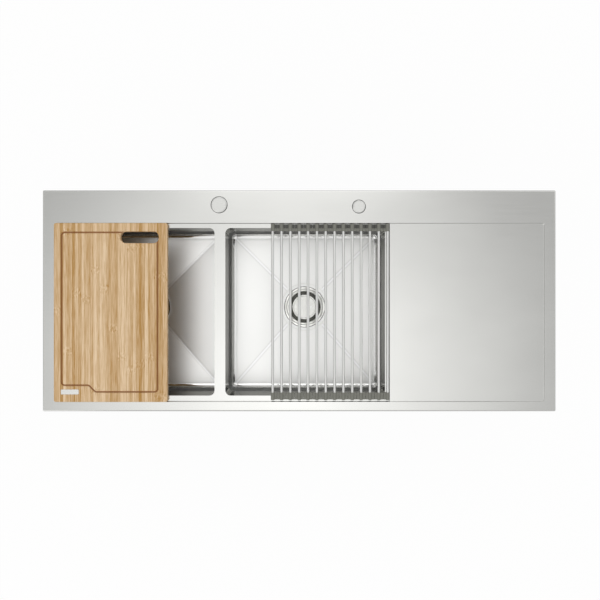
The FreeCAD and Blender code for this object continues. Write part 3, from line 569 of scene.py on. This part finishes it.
def make_piece(name, patches, material, body, slot, *nodes):
    """Put closed grids into one smooth piece that rides on a body and stands for CAD nodes.
    Each patch is a grid of points and whether its rows close too."""
    points = []
    faces = []
    start = 0
    for grid, wrap in patches:
        faces += [[corner + start for corner in face] for face in grid_faces(grid, wrap)]
        points.append(grid.reshape(-1, 3))
        start += grid.shape[0] * grid.shape[1]
    mesh = bpy.data.meshes.new(name)
    mesh.from_pydata((np.vstack(points) * MM).tolist(), [], faces)
    mesh.shade_smooth()
    mesh.set_sharp_from_angle(angle=np.radians(40))
    mesh.materials.append(material)
    piece = bpy.data.objects.new(name, mesh)
    bpy.context.scene.collection.objects.link(piece)
    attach(piece, body)
    if nodes:
        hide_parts(*nodes)
    return piece


def box_mm(node):
    """The lower and the upper corner of a CAD node in millimetres."""
    return [np.array(corner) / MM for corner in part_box(node)]


def to_mm(settings):
    """The lengths of a settings group in millimetres."""
    return {name: getattr(settings, name) / MM for name in settings.bl_rna.properties.keys()
            if name not in ("rna_type", "name")}


def turn_to_side(points, turns, offset):
    """Move points from the middle to the front by the offset, then turn them about Z by a number
    of quarter turns."""
    moved = points - np.array([0.0, offset, 0.0])
    for _ in range(turns % 4):
        moved = np.stack([-moved[..., 1], moved[..., 0], moved[..., 2]], axis=-1)
    return moved


class SINK_OT_stage(bpy.types.Operator):
    """Set the camera, the soft studio light, the white floor and the two lamps"""
    bl_idname = "sink.stage"
    bl_label = "Stage"

    def execute(self, context):
        stage = context.scene.sink_stage
        scene = context.scene
        scene.view_settings.view_transform = "Standard"
        deck_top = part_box("deck")[1].z
        camera_data = bpy.data.cameras.new("camera")
        camera_data.sensor_fit = "HORIZONTAL"
        camera_data.sensor_width = 36.0
        camera_data.lens = camera_data.sensor_width * stage.camera_height / stage.picture_width
        camera_data.dof.use_dof = False
        camera_data.clip_end = 100.0
        camera = bpy.data.objects.new("camera", camera_data)
        camera.location = (stage.aim_x, stage.aim_y, deck_top + stage.camera_height)
        scene.collection.objects.link(camera)
        scene.camera = camera
        self.floor(scene, stage)
        self.world(scene)
        self.lamps(scene, stage)
        return {"FINISHED"}

    def floor(self, scene, stage):
        """A flat pale square under the sink, seen only from above. It is white to the camera and
        to metal, and keeps a little of the sink's shadow."""
        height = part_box("left_tailpiece")[0].z - stage.floor_gap
        half_width = 30.0
        white_share = 0.94
        corners = [(x * half_width, y * half_width, height)
                   for x, y in ((-1, -1), (1, -1), (1, 1), (-1, 1))]
        mesh = bpy.data.meshes.new("floor")
        mesh.from_pydata(corners, [], [(0, 1, 2, 3)])
        floor = bpy.data.objects.new("floor", mesh)
        scene.collection.objects.link(floor)
        material = bpy.data.materials.new("white matt floor")
        material.use_nodes = True
        tree = material.node_tree
        tree.nodes.clear()
        paint = add(tree, "BsdfDiffuse", {"Color": linear("F4F4F3")})
        white = add(tree, "Emission", {"Color": (1, 1, 1, 1), "Strength": 1.0})
        path = add(tree, "LightPath")
        looked = add(tree, "Math", {0: (path, "Is Camera Ray"), 1: (path, "Is Glossy Ray")},
                     operation="MAXIMUM")
        seen = add(tree, "Math", {0: looked, 1: (path, "Is Transmission Ray")}, operation="MAXIMUM")
        amount = add(tree, "Math", {0: seen, 1: white_share}, operation="MULTIPLY")
        mixed = add(tree, "MixShader", {"Fac": amount, 1: paint, 2: white})
        below = add(tree, "NewGeometry")
        clear = add(tree, "BsdfTransparent")
        both = add(tree, "MixShader", {"Fac": (below, "Backfacing"), 1: mixed, 2: clear})
        add(tree, "OutputMaterial", {"Surface": both})
        mesh.materials.append(material)

    def world(self, scene):
        """A soft box overhead, brightest a little to the front, inside a broad pale ring. Below
        the ring a dark band goes round. They are one ramp over the sine of a direction's lean from
        the box's middle. A glow behind it is the product of two eased steps: the lean to either
        side and the lean to the rear. The horizon and all below it are white."""
        world = bpy.data.worlds.new("studio")
        world.use_nodes = True
        tree = world.node_tree
        tree.nodes.clear()
        box_lean = (0.018, 0.082, 0.0)
        where = add(tree, "TexCoord")
        lean = add(tree, "Mapping", {"Location": box_lean, "Scale": IN_PLAN,
                                     "Vector": (where, "Generated")})
        distance = add(tree, "VectorMath", {0: lean}, operation="LENGTH")
        ramp = add(tree, "ValToRGB", {"Fac": distance})
        stops = ((0.0, 0.94), (0.1, 0.71), (0.18, 0.56), (0.26, 0.39), (0.32, 0.29), (0.4, 0.46),
                 (0.6, 0.5), (0.74, 0.32), (0.84, 0.22))
        ramp.color_ramp.interpolation = "LINEAR"
        made = ramp.color_ramp.elements
        for index, (at, level) in enumerate(stops):
            stop = made[index] if index < len(made) else made.new(at)
            stop.position = at
            stop.color = (level, level, level, 1.0)
        axes = add(tree, "SeparateXYZ", {"Vector": (where, "Generated")})
        side = add(tree, "Math", {0: (axes, "X")}, operation="ABSOLUTE")
        narrow = add(tree, "MapRange", {"From Min": 0.05, "From Max": 0.2, "To Min": 0.36,
                                        "To Max": 0.0, "Value": side}, **EASED)
        behind = add(tree, "MapRange", {"From Min": 0.096, "From Max": 0.13, "Value": (axes, "Y")},
                     **EASED)
        level = add(tree, "Math", {0: narrow, 1: behind, 2: ramp}, operation="MULTIPLY_ADD")
        horizon = add(tree, "MapRange", {"From Min": 0.12, "From Max": 0.35, "To Min": 0.485,
                                         "To Max": 0.0, "Value": (axes, "Z")}, **EASED)
        whole = add(tree, "Math", {0: level, 1: horizon}, operation="MAXIMUM")
        brightness = 2.08
        dome = add(tree, "Background", {"Strength": brightness, "Color": whole})
        add(tree, "OutputWorld", {"Surface": dome})
        scene.world = world

    def lamps(self, scene, stage):
        """Two broad low lamps, front left and rear right, that give soft shadows and stay out of
        what the flat steel mirrors."""
        lamp_width = 3.4
        for name, spot, watts in (("key", (-2.4, -2.0, 1.7), stage.key_power),
                                  ("fill", (2.3, 1.9, 1.8), stage.fill_power)):
            data = bpy.data.lights.new(name, "AREA")
            data.shape = "DISK"
            data.size = lamp_width
            data.energy = watts
            lamp = bpy.data.objects.new(name, data)
            lamp.location = spot
            lamp.rotation_mode = "QUATERNION"
            lamp.rotation_quaternion = (-Vector(spot)).to_track_quat("-Z", "Y")
            scene.collection.objects.link(lamp)


class SINK_OT_deck(bpy.types.Operator):
    """Finish the deck sheet and the two hole covers with their foam rings"""
    bl_idname = "sink.deck"
    bl_label = "Deck"

    def execute(self, context):
        steel = context.scene.sink_steel
        give(brushed_steel("belt-ground deck steel", steel.deck, steel.deck_roughness,
                           steel.brush_pitch), "deck")
        self.cover("tap_pressed_cover", "tap_hole_cover", "tap_cover", steel, 1)
        self.cover("dispenser_pressed_cover", "dispenser_hole_cover", "dispenser_cover", steel, -1)
        foam = closed_cell_foam("cover foam", context.scene.sink_soft.foam)
        self.foam_ring("tap_cover_foam_ring", "tap_cover_foam", "tap_cover", foam)
        self.foam_ring("dispenser_cover_foam_ring", "dispenser_cover_foam", "dispenser_cover", foam)
        return {"FINISHED"}

    def cover(self, name, node, body, steel, pin_side):
        """A pressed cover, turned from its outline: a middle sunk by an eased step, a raised
        bead, a straight slope down to the edge, and the sheet's inner side. Its pin hole is an
        eased pit in the top at a distance from the pin's middle."""
        low, high = box_mm(node)
        middle = (low + high) / 2
        edge = (high[0] - low[0]) / 2
        columns = 128
        slope, bow, bead, sheet, sunk, lip = 2.3, 1.15, 0.8, 0.5, 0.2, 0.1
        pin_inset, pin_radius, pin_depth, ease = 4.1, 1.9, 0.35, 0.9
        coarse_end, fine_start = edge - 4.4, edge - 4.2
        r = np.concatenate([[HUB], np.linspace(0.8, coarse_end, 20),
                            np.linspace(fine_start, edge, 43)])
        fall = np.clip((r - edge + slope) / slope, 0, 1)
        z = high[2] - sunk * smooth((edge - slope - bead - r) / ease)
        z -= (high[2] - low[2] - lip) * fall ** bow
        under_r = [edge - lip, edge - sheet, edge - slope - 0.3, HUB]
        under_z = [low[2], low[2], high[2] - sheet, high[2] - sheet - sunk]
        angle = np.linspace(0, FULL, columns, endpoint=False)
        radius = np.concatenate([r, under_r])[:, None]
        x = radius * np.cos(angle)
        y = radius * np.sin(angle)
        height = np.repeat(np.concatenate([z, under_z])[:, None], columns, axis=1)
        away = np.hypot(x - pin_side * (edge - pin_inset), y)
        height[:len(r)] -= pin_depth * smooth((pin_radius - away[:len(r)]) / ease)
        points = np.stack([middle[0] + x, middle[1] + y, height], axis=-1)
        # A cover's edge, from a millimetre inside its rim outwards, is darkened: painted shade.
        edge_shade_inset = 1.0
        material = brushed_steel(
            "satin steel of " + name, steel.deck, steel.deck_roughness * 2.2,
            steel.brush_pitch * 0.7,
            painted_edge_shade=(middle[0] * MM, middle[1] * MM, (edge - edge_shade_inset) * MM))
        make_piece(name, [(points, False)], material, body, "cover_steel", node)

    def foam_ring(self, name, node, body, material):
        """A ring of foam under a cover: a circle swept by a rounded loop that fills the space
        between the hole's edge and the cover's skirt."""
        low, high = box_mm(node)
        middle = (low + high) / 2
        outer = (high[0] - low[0]) / 2
        width = 0.45
        rows, columns = 72, 12
        a, b = rounded_loop(columns, 4)
        angle = np.linspace(0, FULL, rows, endpoint=False)[:, None]
        radius = outer - width / 2 + a * width / 2
        height = middle[2] + b * (high[2] - low[2]) / 2
        points = np.stack(
            [middle[0] + radius * np.cos(angle), middle[1] + radius * np.sin(angle),
             np.broadcast_to(height, (rows, columns))], axis=-1)
        ring = make_piece(name, [(points, True)], material, body, "foam", node)


class SINK_OT_bowls(bpy.types.Operator):
    """Finish the two bowls with the creases of their floors"""
    bl_idname = "sink.bowls"
    bl_label = "Bowls"

    def execute(self, context):
        steel = context.scene.sink_steel
        for side in ("left", "right"):
            drain_low, drain_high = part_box(side + "_strainer")
            centre = (drain_low + drain_high) / 2
            low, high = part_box(side + "_bowl")
            flange = Vector((steel.weld_flange, steel.weld_flange, 0.0))
            roughness = getattr(steel, side + "_roughness")
            give(satin_bowl_steel("satin bowl steel " + side, steel, roughness, centre,
                                  low + flange, high - flange), side + "_bowl")
        return {"FINISHED"}


class SINK_OT_drains(bpy.types.Operator):
    """Finish the strainers, baskets, nuts and tailpieces and cut the strainers' threads"""
    bl_idname = "sink.drains"
    bl_label = "Drains"

    def execute(self, context):
        steel = context.scene.sink_steel
        soft = context.scene.sink_soft
        rubber = moulded("black rubber", soft.rubber, 0.6, 1.2)
        plastic = moulded("white polypropylene", soft.plastic, 0.38, 2.5, contrast=0.02)
        fibre = moulded("pressed fibre", soft.fibre, 0.85, 0.8, contrast=0.12, level=0.2)
        for side in ("left", "right"):
            low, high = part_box(side + "_strainer")
            centre = ((low.x + high.x) / 2, (low.y + high.y) / 2)
            # Heights between which the fittings' colour fades into painted shade.
            shade_fade_top, shade_full_bottom = high.z - 8 * MM, high.z - 12 * MM
            polished, satin = [
                turned_steel(finish + side, tone, rough, centre, steel.painted_shade, shade_fade_top,
                             shade_full_bottom, steel.flange_shade_radius)
                for finish, tone, rough in (
                    ("polished drain steel ", steel.drain, steel.drain_roughness),
                    ("satin cap steel ", steel.cap, steel.drain_roughness * 1.8))]
            give(polished, side + "_strainer", side + "_basket")
            give(satin, side + "_basket_cap")
            give(rubber, side + "_basket_seal")
            give(plastic, side + "_tailpiece")
            x, y = centre[0] / MM, centre[1] / MM
            # Radius, depth, pitch, lower and upper end of the cup's thread and of the neck's
            threads = [(self.thread(x, y, *sizes), True) for sizes in (
                (40.5, 0.9, 3.0, -270.0, -244.0), (24.0, 0.7, 2.0, -284.0, -276.0))]
            make_piece(side + "_strainer_threads", threads, polished, "sink", "strainer_steel")
        give(rubber, "flange_seals", "drain_gaskets", "tailpiece_washers")
        give(fibre, "friction_rings")
        give(plastic, "lock_nuts", "coupling_nuts")
        return {"FINISHED"}

    def thread(self, x, y, radius, depth, pitch, low, high):
        """A screw thread as a closed sleeve. Its outer radius grows by the depth times an eased
        triangle wave of height over pitch less the share of a turn, and the wave fades out over
        half a pitch at both ends. Its inner wall is hidden in the tube."""
        columns = 96
        rows_a_turn = 8
        lift, wall = 0.02, 0.5
        z = np.linspace(low, high, int((high - low) / pitch * rows_a_turn) + 1)
        angle = np.linspace(0, FULL, columns, endpoint=False)[:, None]
        phase = (z - low) / pitch - angle / FULL
        wave = smooth(1 - np.abs(2 * (phase - np.floor(phase)) - 1))
        fade = smooth((z - low) / (pitch / 2)) * smooth((high - z) / (pitch / 2))
        outer = radius + lift + depth * wave * fade
        inner = np.full((columns, 1), radius - wall)
        r = np.hstack([outer, inner, inner])
        heights = np.broadcast_to(np.concatenate([z, [high, low]]), r.shape)
        return np.stack([x + r * np.cos(angle), y + r * np.sin(angle), heights], axis=-1)


class SINK_OT_board(bpy.types.Operator):
    """Finish the bamboo cutting board and its steel plate"""
    bl_idname = "sink.board"
    bl_label = "Cutting board"

    def execute(self, context):
        steel = context.scene.sink_steel
        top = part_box("cutting_board")[1].z
        give(oiled_bamboo("oiled bamboo", context.scene.sink_bamboo, top), "cutting_board")
        give(brushed_steel("satin plate steel", steel.drain, 0.22, steel.brush_pitch * 0.6),
             "board_plate")
        return {"FINISHED"}


class SINK_OT_rack(bpy.types.Operator):
    """Finish the rack's tubes and mould its silicone ends"""
    bl_idname = "sink.rack"
    bl_label = "Roll-up rack"

    def execute(self, context):
        steel = context.scene.sink_steel
        soft = context.scene.sink_soft
        rack = to_mm(context.scene.sink_rack)
        tube = brushed_steel("satin tube steel", steel.rod, steel.rod_roughness,
                             steel.brush_pitch, along=1)
        # Painted shade: below 0.4 mm over the tubes' middles the silicone is darkened, in the
        # pockets between the bumps.
        silicone = moulded("grey silicone", soft.silicone, 0.5, 1.5, depth=0.04, level=0.45,
                           pocket=rack["height"] + 0.4)
        for index in range(RODS):
            name = "%02d" % (index + 1)
            give(tube, "rack_rod_" + name)
            ends = [
                (self.end(rack, index, rack["front"], 1, 0.0), False),
                (self.end(rack, index, rack["rear"], -1, 1.0), False)]
            make_piece("rack_end_" + name, ends, silicone, "rack_" + name, "link_silicone",
                       "rack_link_" + name)
        return {"FINISHED"}

    def end(self, rack, index, outer, inward, pocket_depth):
        """One silicone end. Along X the half thickness is the fourth root of the sum of the
        fourth powers of a circle's height and the web's, so that the bump flows into the web.
        Each section is a rounded rectangle, the height being the seventh root of one less the
        seventh power of the share of the width. Its outer side stays behind the bump's by the
        scallop, eased in beside the bump. The web's free edges are rounded off. Its top is sunk
        by an eased step of the distance from the outer side, which makes a pocket. The front
        ends are flat and have none."""
        bump = rack["bump"]
        web = rack["web"] / 2
        reach = rack["reach"]
        edge_round, edge_left, thinnest = 0.5, 0.002, 0.05
        scallop_start, scallop_ease = 2.4, 2.2
        pocket_start, pocket_ease, beside_start, beside_ease = 1.4, 0.7, 3.9, 0.9
        half_turn = np.pi / 2
        arc = bump * np.sin(np.linspace(-half_turn, half_turn, 21))
        past_bump, before_edge = np.array([0.6, 1.4, 2.6]), np.array([1.2, 0.5, 0.2, 0.06, 0.0])
        flap = np.concatenate([bump + past_bump, reach - before_edge])
        left = index < RODS - 1
        right = index > 0
        across = np.concatenate([-flap[::-1] if left else [], arc, flap if right else []])
        circle = np.sqrt(np.clip(bump ** 2 - across ** 2, 0, None))
        past = np.clip((np.abs(across) - reach + edge_round) / edge_round, 0, 1)
        ended = np.sqrt(np.clip(1 - past ** 2, edge_left, None))
        webbed = np.where(across < 0, left, right) * web * ended
        half = np.maximum((circle ** 4 + webbed ** 4) ** 0.25, thinnest)
        back = rack["scallop"] * smooth((np.abs(across) - scallop_start) / scallop_ease)
        deep = (rack["width"] - back) / 2
        top = np.sin(np.linspace(-half_turn, half_turn, 31))
        a = np.concatenate([top, top[-2:0:-1]])
        b = (1 - np.abs(a) ** 7) ** (1 / 7) * np.where(np.arange(len(a)) < len(top), 1, -1)
        y = outer + inward * (back + deep)[:, None] + a * deep[:, None]
        z = rack["height"] + b * half[:, None]
        inside = inward * (y - outer)
        beside = smooth((np.abs(across) - beside_start) / beside_ease)[:, None]
        sunk = smooth((inside - pocket_start) / pocket_ease)
        sunk = sunk * smooth((pocket_start + rack["pocket"] - inside) / pocket_ease) * beside
        z = np.where(b > 0, z - sunk * pocket_depth * b, z)
        x = rack["first_x"] - index * rack["pitch"] + across
        return np.stack([np.broadcast_to(x[:, None], y.shape), y, z], axis=-1)


class SINK_OT_underside(bpy.types.Operator):
    """Finish what is below the rim: the foam seal, rails, clips, screws, stiffeners and pads"""
    bl_idname = "sink.underside"
    bl_label = "Underside"

    def execute(self, context):
        steel = context.scene.sink_steel
        soft = context.scene.sink_soft
        fixing = to_mm(context.scene.sink_fixing)
        zinc = zinc_plate("zinc-plated steel", steel.zinc, 0.38)
        give(zinc, "clip_rails", "mounting_clips", "drainboard_stiffeners")
        half_x, half_y, _ = box_mm("deck")[1]
        foam = closed_cell_foam("rim seal foam", soft.foam)
        seal = make_piece(
            "rim_seal_strip", [(self.seal(fixing, half_x, half_y), True)], foam, "sink", "foam",
            "rim_seal")
        screw_steel = brushed_steel("bright screw steel", steel.screw, 0.25,
                                    steel.brush_pitch * 0.5)
        make_piece("pan_head_screws", self.screws(fixing, half_x, half_y), screw_steel, "sink",
                   "screw_steel", "clip_screws")
        bitumen = moulded("bitumen pad", soft.pad, 0.8, 2.0, depth=0.12, contrast=0.15, level=0.3)
        make_piece("embossed_pads", self.pads(fixing), bitumen, "sink", "pad_rubber", "sound_pads")
        make_piece("weld_spots", self.welds(fixing, half_x, half_y), zinc, "sink", "zinc_steel")
        return {"FINISHED"}

    def seal(self, fixing, half_x, half_y):
        """The foam strip: a rectangle with quarter-circle corners swept by a rounded loop."""
        corner = 6.0
        steps = 9
        columns = 20
        spread = np.linspace(0, np.pi / 2, steps)
        quarter = np.arange(4)[:, None] * np.pi / 2
        angle = (quarter + spread).reshape(-1, 1)
        sign_x = np.repeat([1, -1, -1, 1], steps)[:, None]
        sign_y = np.repeat([1, 1, -1, -1], steps)[:, None]
        centre_x = sign_x * (half_x - fixing["seal_inset"] - corner)
        centre_y = sign_y * (half_y - fixing["seal_inset"] - corner)
        a, b = rounded_loop(columns, 3)
        out = corner + a * fixing["seal_width"] / 2
        height = np.broadcast_to((1 + b) * fixing["seal_height"] / 2, (4 * steps, columns))
        return np.stack([centre_x + out * np.cos(angle), centre_y + out * np.sin(angle), height],
                        axis=-1)

    def screws(self, fixing, half_x, half_y):
        """Every clip screw: a turned outline of a domed head and a pointed shank. A cross is
        sunk into the dome where one of two eased bars lies, and an eased triangle wave of height
        over pitch less the share of a turn makes the thread."""
        columns = 48
        dome_rows, thread_rows = 18, 36
        thread_depth, cross_depth, chamfer = 0.45, 1.2, 0.3
        bar_width, bar_reach, side_ease, end_ease = 0.75, 2.7, 0.35, 0.4
        tip_length, tip_radius, tip_round = 0.8, 0.9, 0.1
        angle = np.linspace(0, FULL, columns, endpoint=False)
        head = fixing["head_radius"]
        face = fixing["screw_face"]
        dome_r = np.linspace(0.05, 1, dome_rows) * head
        dome_u = face + fixing["head_height"] * np.sqrt(1 - 0.7 * (dome_r / head) ** 2)
        turns_u = np.linspace(face - 0.1, tip_length - fixing["screw_tail"], thread_rows)
        radius = np.concatenate([dome_r, [head, head - chamfer, fixing["screw_radius"]],
                                 np.full(thread_rows, fixing["screw_radius"]), [tip_radius, HUB]])
        depth = np.concatenate([dome_u, [face + chamfer, face, face], turns_u,
                                [tip_round - fixing["screw_tail"], -fixing["screw_tail"]]])
        r = np.repeat(radius[:, None], columns, axis=1)
        u = np.repeat(depth[:, None], columns, axis=1)
        phase = turns_u[:, None] / fixing["screw_pitch"] - angle / FULL
        wave = smooth(1 - np.abs(2 * (phase - np.floor(phase)) - 1))
        first = dome_rows + 3
        r[first:first + thread_rows] -= thread_depth * (1 - wave)
        x = r * np.cos(angle)
        z = r * np.sin(angle)
        bars = [smooth((bar_width - np.abs(across)) / side_ease)
                * smooth((bar_reach - np.abs(along)) / end_ease)
                for across, along in ((x, z), (z, x))]
        u[:dome_rows] -= cross_depth * np.maximum(*bars)[:dome_rows]
        screw = np.stack([x, u, z + fixing["screw_drop"]], axis=-1)
        return [(turn_to_side(screw + np.array([along, 0.0, 0.0]), turns, offset), False)
                for turns, offset, run, shares in self.sides(fixing, half_x, half_y)
                for along in run * np.array(shares)]

    def sides(self, fixing, half_x, half_y):
        """Quarter turns, distance, length and the clips' shares of it for the four rails."""
        end_gap = 60.0
        long_shares = (-0.42, -0.15, 0.15, 0.42)
        short_shares = (-0.32, 0.32)
        front = half_y - fixing["rail_inset"]
        side = half_x - fixing["rail_inset"]
        long_run = 2 * (half_x - end_gap)
        short_run = 2 * (half_y - end_gap)
        return [(0, front, long_run, long_shares), (1, side, short_run, short_shares),
                (2, front, long_run, long_shares), (3, side, short_run, short_shares)]

    def pads(self, fixing):
        """The six sound pads: a sheet with round corners and softened edges, raised into
        diamonds by the product of two sine waves that run at 45 degrees."""
        half_length, half_height = fixing["pad_length"] / 2, fixing["pad_height"] / 2
        corner, thick = fixing["pad_corner"], fixing["pad_thickness"]
        columns = 131
        emboss, edge_fall, edge_width, pitch, gap = 0.35, 0.8, 1.5, 9.0, 0.02
        steepness, plain_margin = 2.5, 4
        bent = half_height * np.sin(np.linspace(-np.pi / 2, np.pi / 2, 15))
        v = np.concatenate([bent[:4], np.linspace(-0.87, 0.87, 53) * half_height, bent[-4:]])
        v = np.clip(v, -half_height, half_height)[:, None]
        past = np.clip(np.abs(v) - (half_height - corner), 0, corner)
        reach = half_length - corner + np.sqrt(corner ** 2 - past ** 2) - 0.001
        u = np.linspace(-1, 1, columns) * reach
        edge = np.minimum(half_length - np.abs(u) * half_length / reach, half_height - np.abs(v))
        inward = 1 - np.clip(edge / edge_width, 0, 1)
        fall = edge_fall * (1 - np.sqrt(np.clip(1 - inward ** 2, 0, None)))
        waves = np.abs(np.sin(np.pi * (u + v) / pitch) * np.sin(np.pi * (u - v) / pitch))
        raised = emboss * smooth(waves * steepness) * smooth(edge / plain_margin)
        out = thick - emboss - fall + raised
        front = np.stack([u, out, np.broadcast_to(v, u.shape)], axis=-1)
        back = np.stack([u[:, ::-1], np.full(u.shape, gap), np.broadcast_to(v, u.shape)], axis=-1)
        pad = np.concatenate([front, back[:, ::columns - 1]], axis=1)
        pad[..., 2] += fixing["pad_middle"]
        wall_low, wall_high = box_mm("sound_pads")
        front_wall = wall_low[1] + thick
        rear_wall = wall_high[1] - thick
        made = []
        for side in ("left", "right"):
            low, high = box_mm(side + "_bowl")
            x = (low[0] + high[0]) / 2
            made.append((pad * [1, -1, 1] + [x, front_wall, 0], False))
            made.append((pad + [x, rear_wall, 0], False))
        middle_y = (front_wall + rear_wall) / 2
        turned = pad[..., [1, 0, 2]]
        made.append((turned * [-1, 1, 1] + [wall_low[0] + thick, middle_y, 0], False))
        made.append((turned + [wall_high[0] - thick, middle_y, 0], False))
        return made

    def welds(self, fixing, half_x, half_y):
        """Spot welds: a low dome with a shallow ring round it, turned from its outline, on the
        stiffeners' flanges and along the rails."""
        columns = 24
        flange_middle, flange_pitch, channel_end = 5, 44, 18
        rail_pitch, rail_end, rail_face = 52, 16, (4.6, 2.8)
        radius = np.array([HUB, 0.7, 1.3, 1.8, 2.1, 2.5, 2.9, 3.0, 2.9])
        drop = np.array([0.35, 0.33, 0.26, 0.14, 0.05, 0.12, 0.1, 0.0, -0.3])
        angle = np.linspace(0, FULL, columns, endpoint=False)
        spot = np.stack([radius[:, None] * np.cos(angle), radius[:, None] * np.sin(angle),
                         -np.repeat(drop[:, None], columns, axis=1)], axis=-1)
        made = []
        low, high = box_mm("drainboard_stiffeners")
        insets = (flange_middle, flange_middle + flange_pitch)
        rows = [low[1] + inset for inset in insets] + [high[1] - inset for inset in insets[::-1]]
        for x in np.linspace(low[0] + channel_end, high[0] - channel_end, 7):
            for y in rows:
                made.append((spot + [x, y, high[2] - 1.0], False))
        for turns, offset, run, _ in self.sides(fixing, half_x, half_y):
            for along in np.linspace(-run / 2 + rail_end, run / 2 - rail_end,
                                     int(run / rail_pitch)):
                made.append((turn_to_side(spot + [along, *rail_face], turns, offset), False))
        return made


class SINK_PT_panel(bpy.types.Panel):
    """Sidebar list of the sink's pieces"""
    bl_idname = "SINK_PT_panel"
    bl_label = "Kitchen sink"
    bl_space_type = "VIEW_3D"
    bl_region_type = "UI"
    bl_category = "Sink"

    def draw(self, context):
        for operator in OPERATORS:
            self.layout.operator(operator.bl_idname)


SETTINGS = {
    "sink_steel": SteelSettings,
    "sink_bamboo": BambooSettings,
    "sink_soft": SoftSettings,
    "sink_rack": RackSettings,
    "sink_fixing": FixingSettings,
    "sink_stage": StageSettings,
}
OPERATORS = (
    SINK_OT_stage, SINK_OT_deck, SINK_OT_bowls, SINK_OT_drains, SINK_OT_board, SINK_OT_rack,
    SINK_OT_underside)


def register():
    for name, group in SETTINGS.items():
        bpy.utils.register_class(group)
        setattr(bpy.types.Scene, name, PointerProperty(type=group))
    for operator in OPERATORS:
        bpy.utils.register_class(operator)
    bpy.utils.register_class(SINK_PT_panel)


def unregister():
    bpy.utils.unregister_class(SINK_PT_panel)
    for operator in reversed(OPERATORS):
        bpy.utils.unregister_class(operator)
    for name, group in SETTINGS.items():
        delattr(bpy.types.Scene, name)
        bpy.utils.unregister_class(group)


def main():
    """Register and make every piece in order."""
    register()
    bpy.ops.sink.stage()
    bpy.ops.sink.deck()
    bpy.ops.sink.bowls()
    bpy.ops.sink.drains()
    bpy.ops.sink.board()
    bpy.ops.sink.rack()
    bpy.ops.sink.underside()


if __name__ == "__main__":
    main()
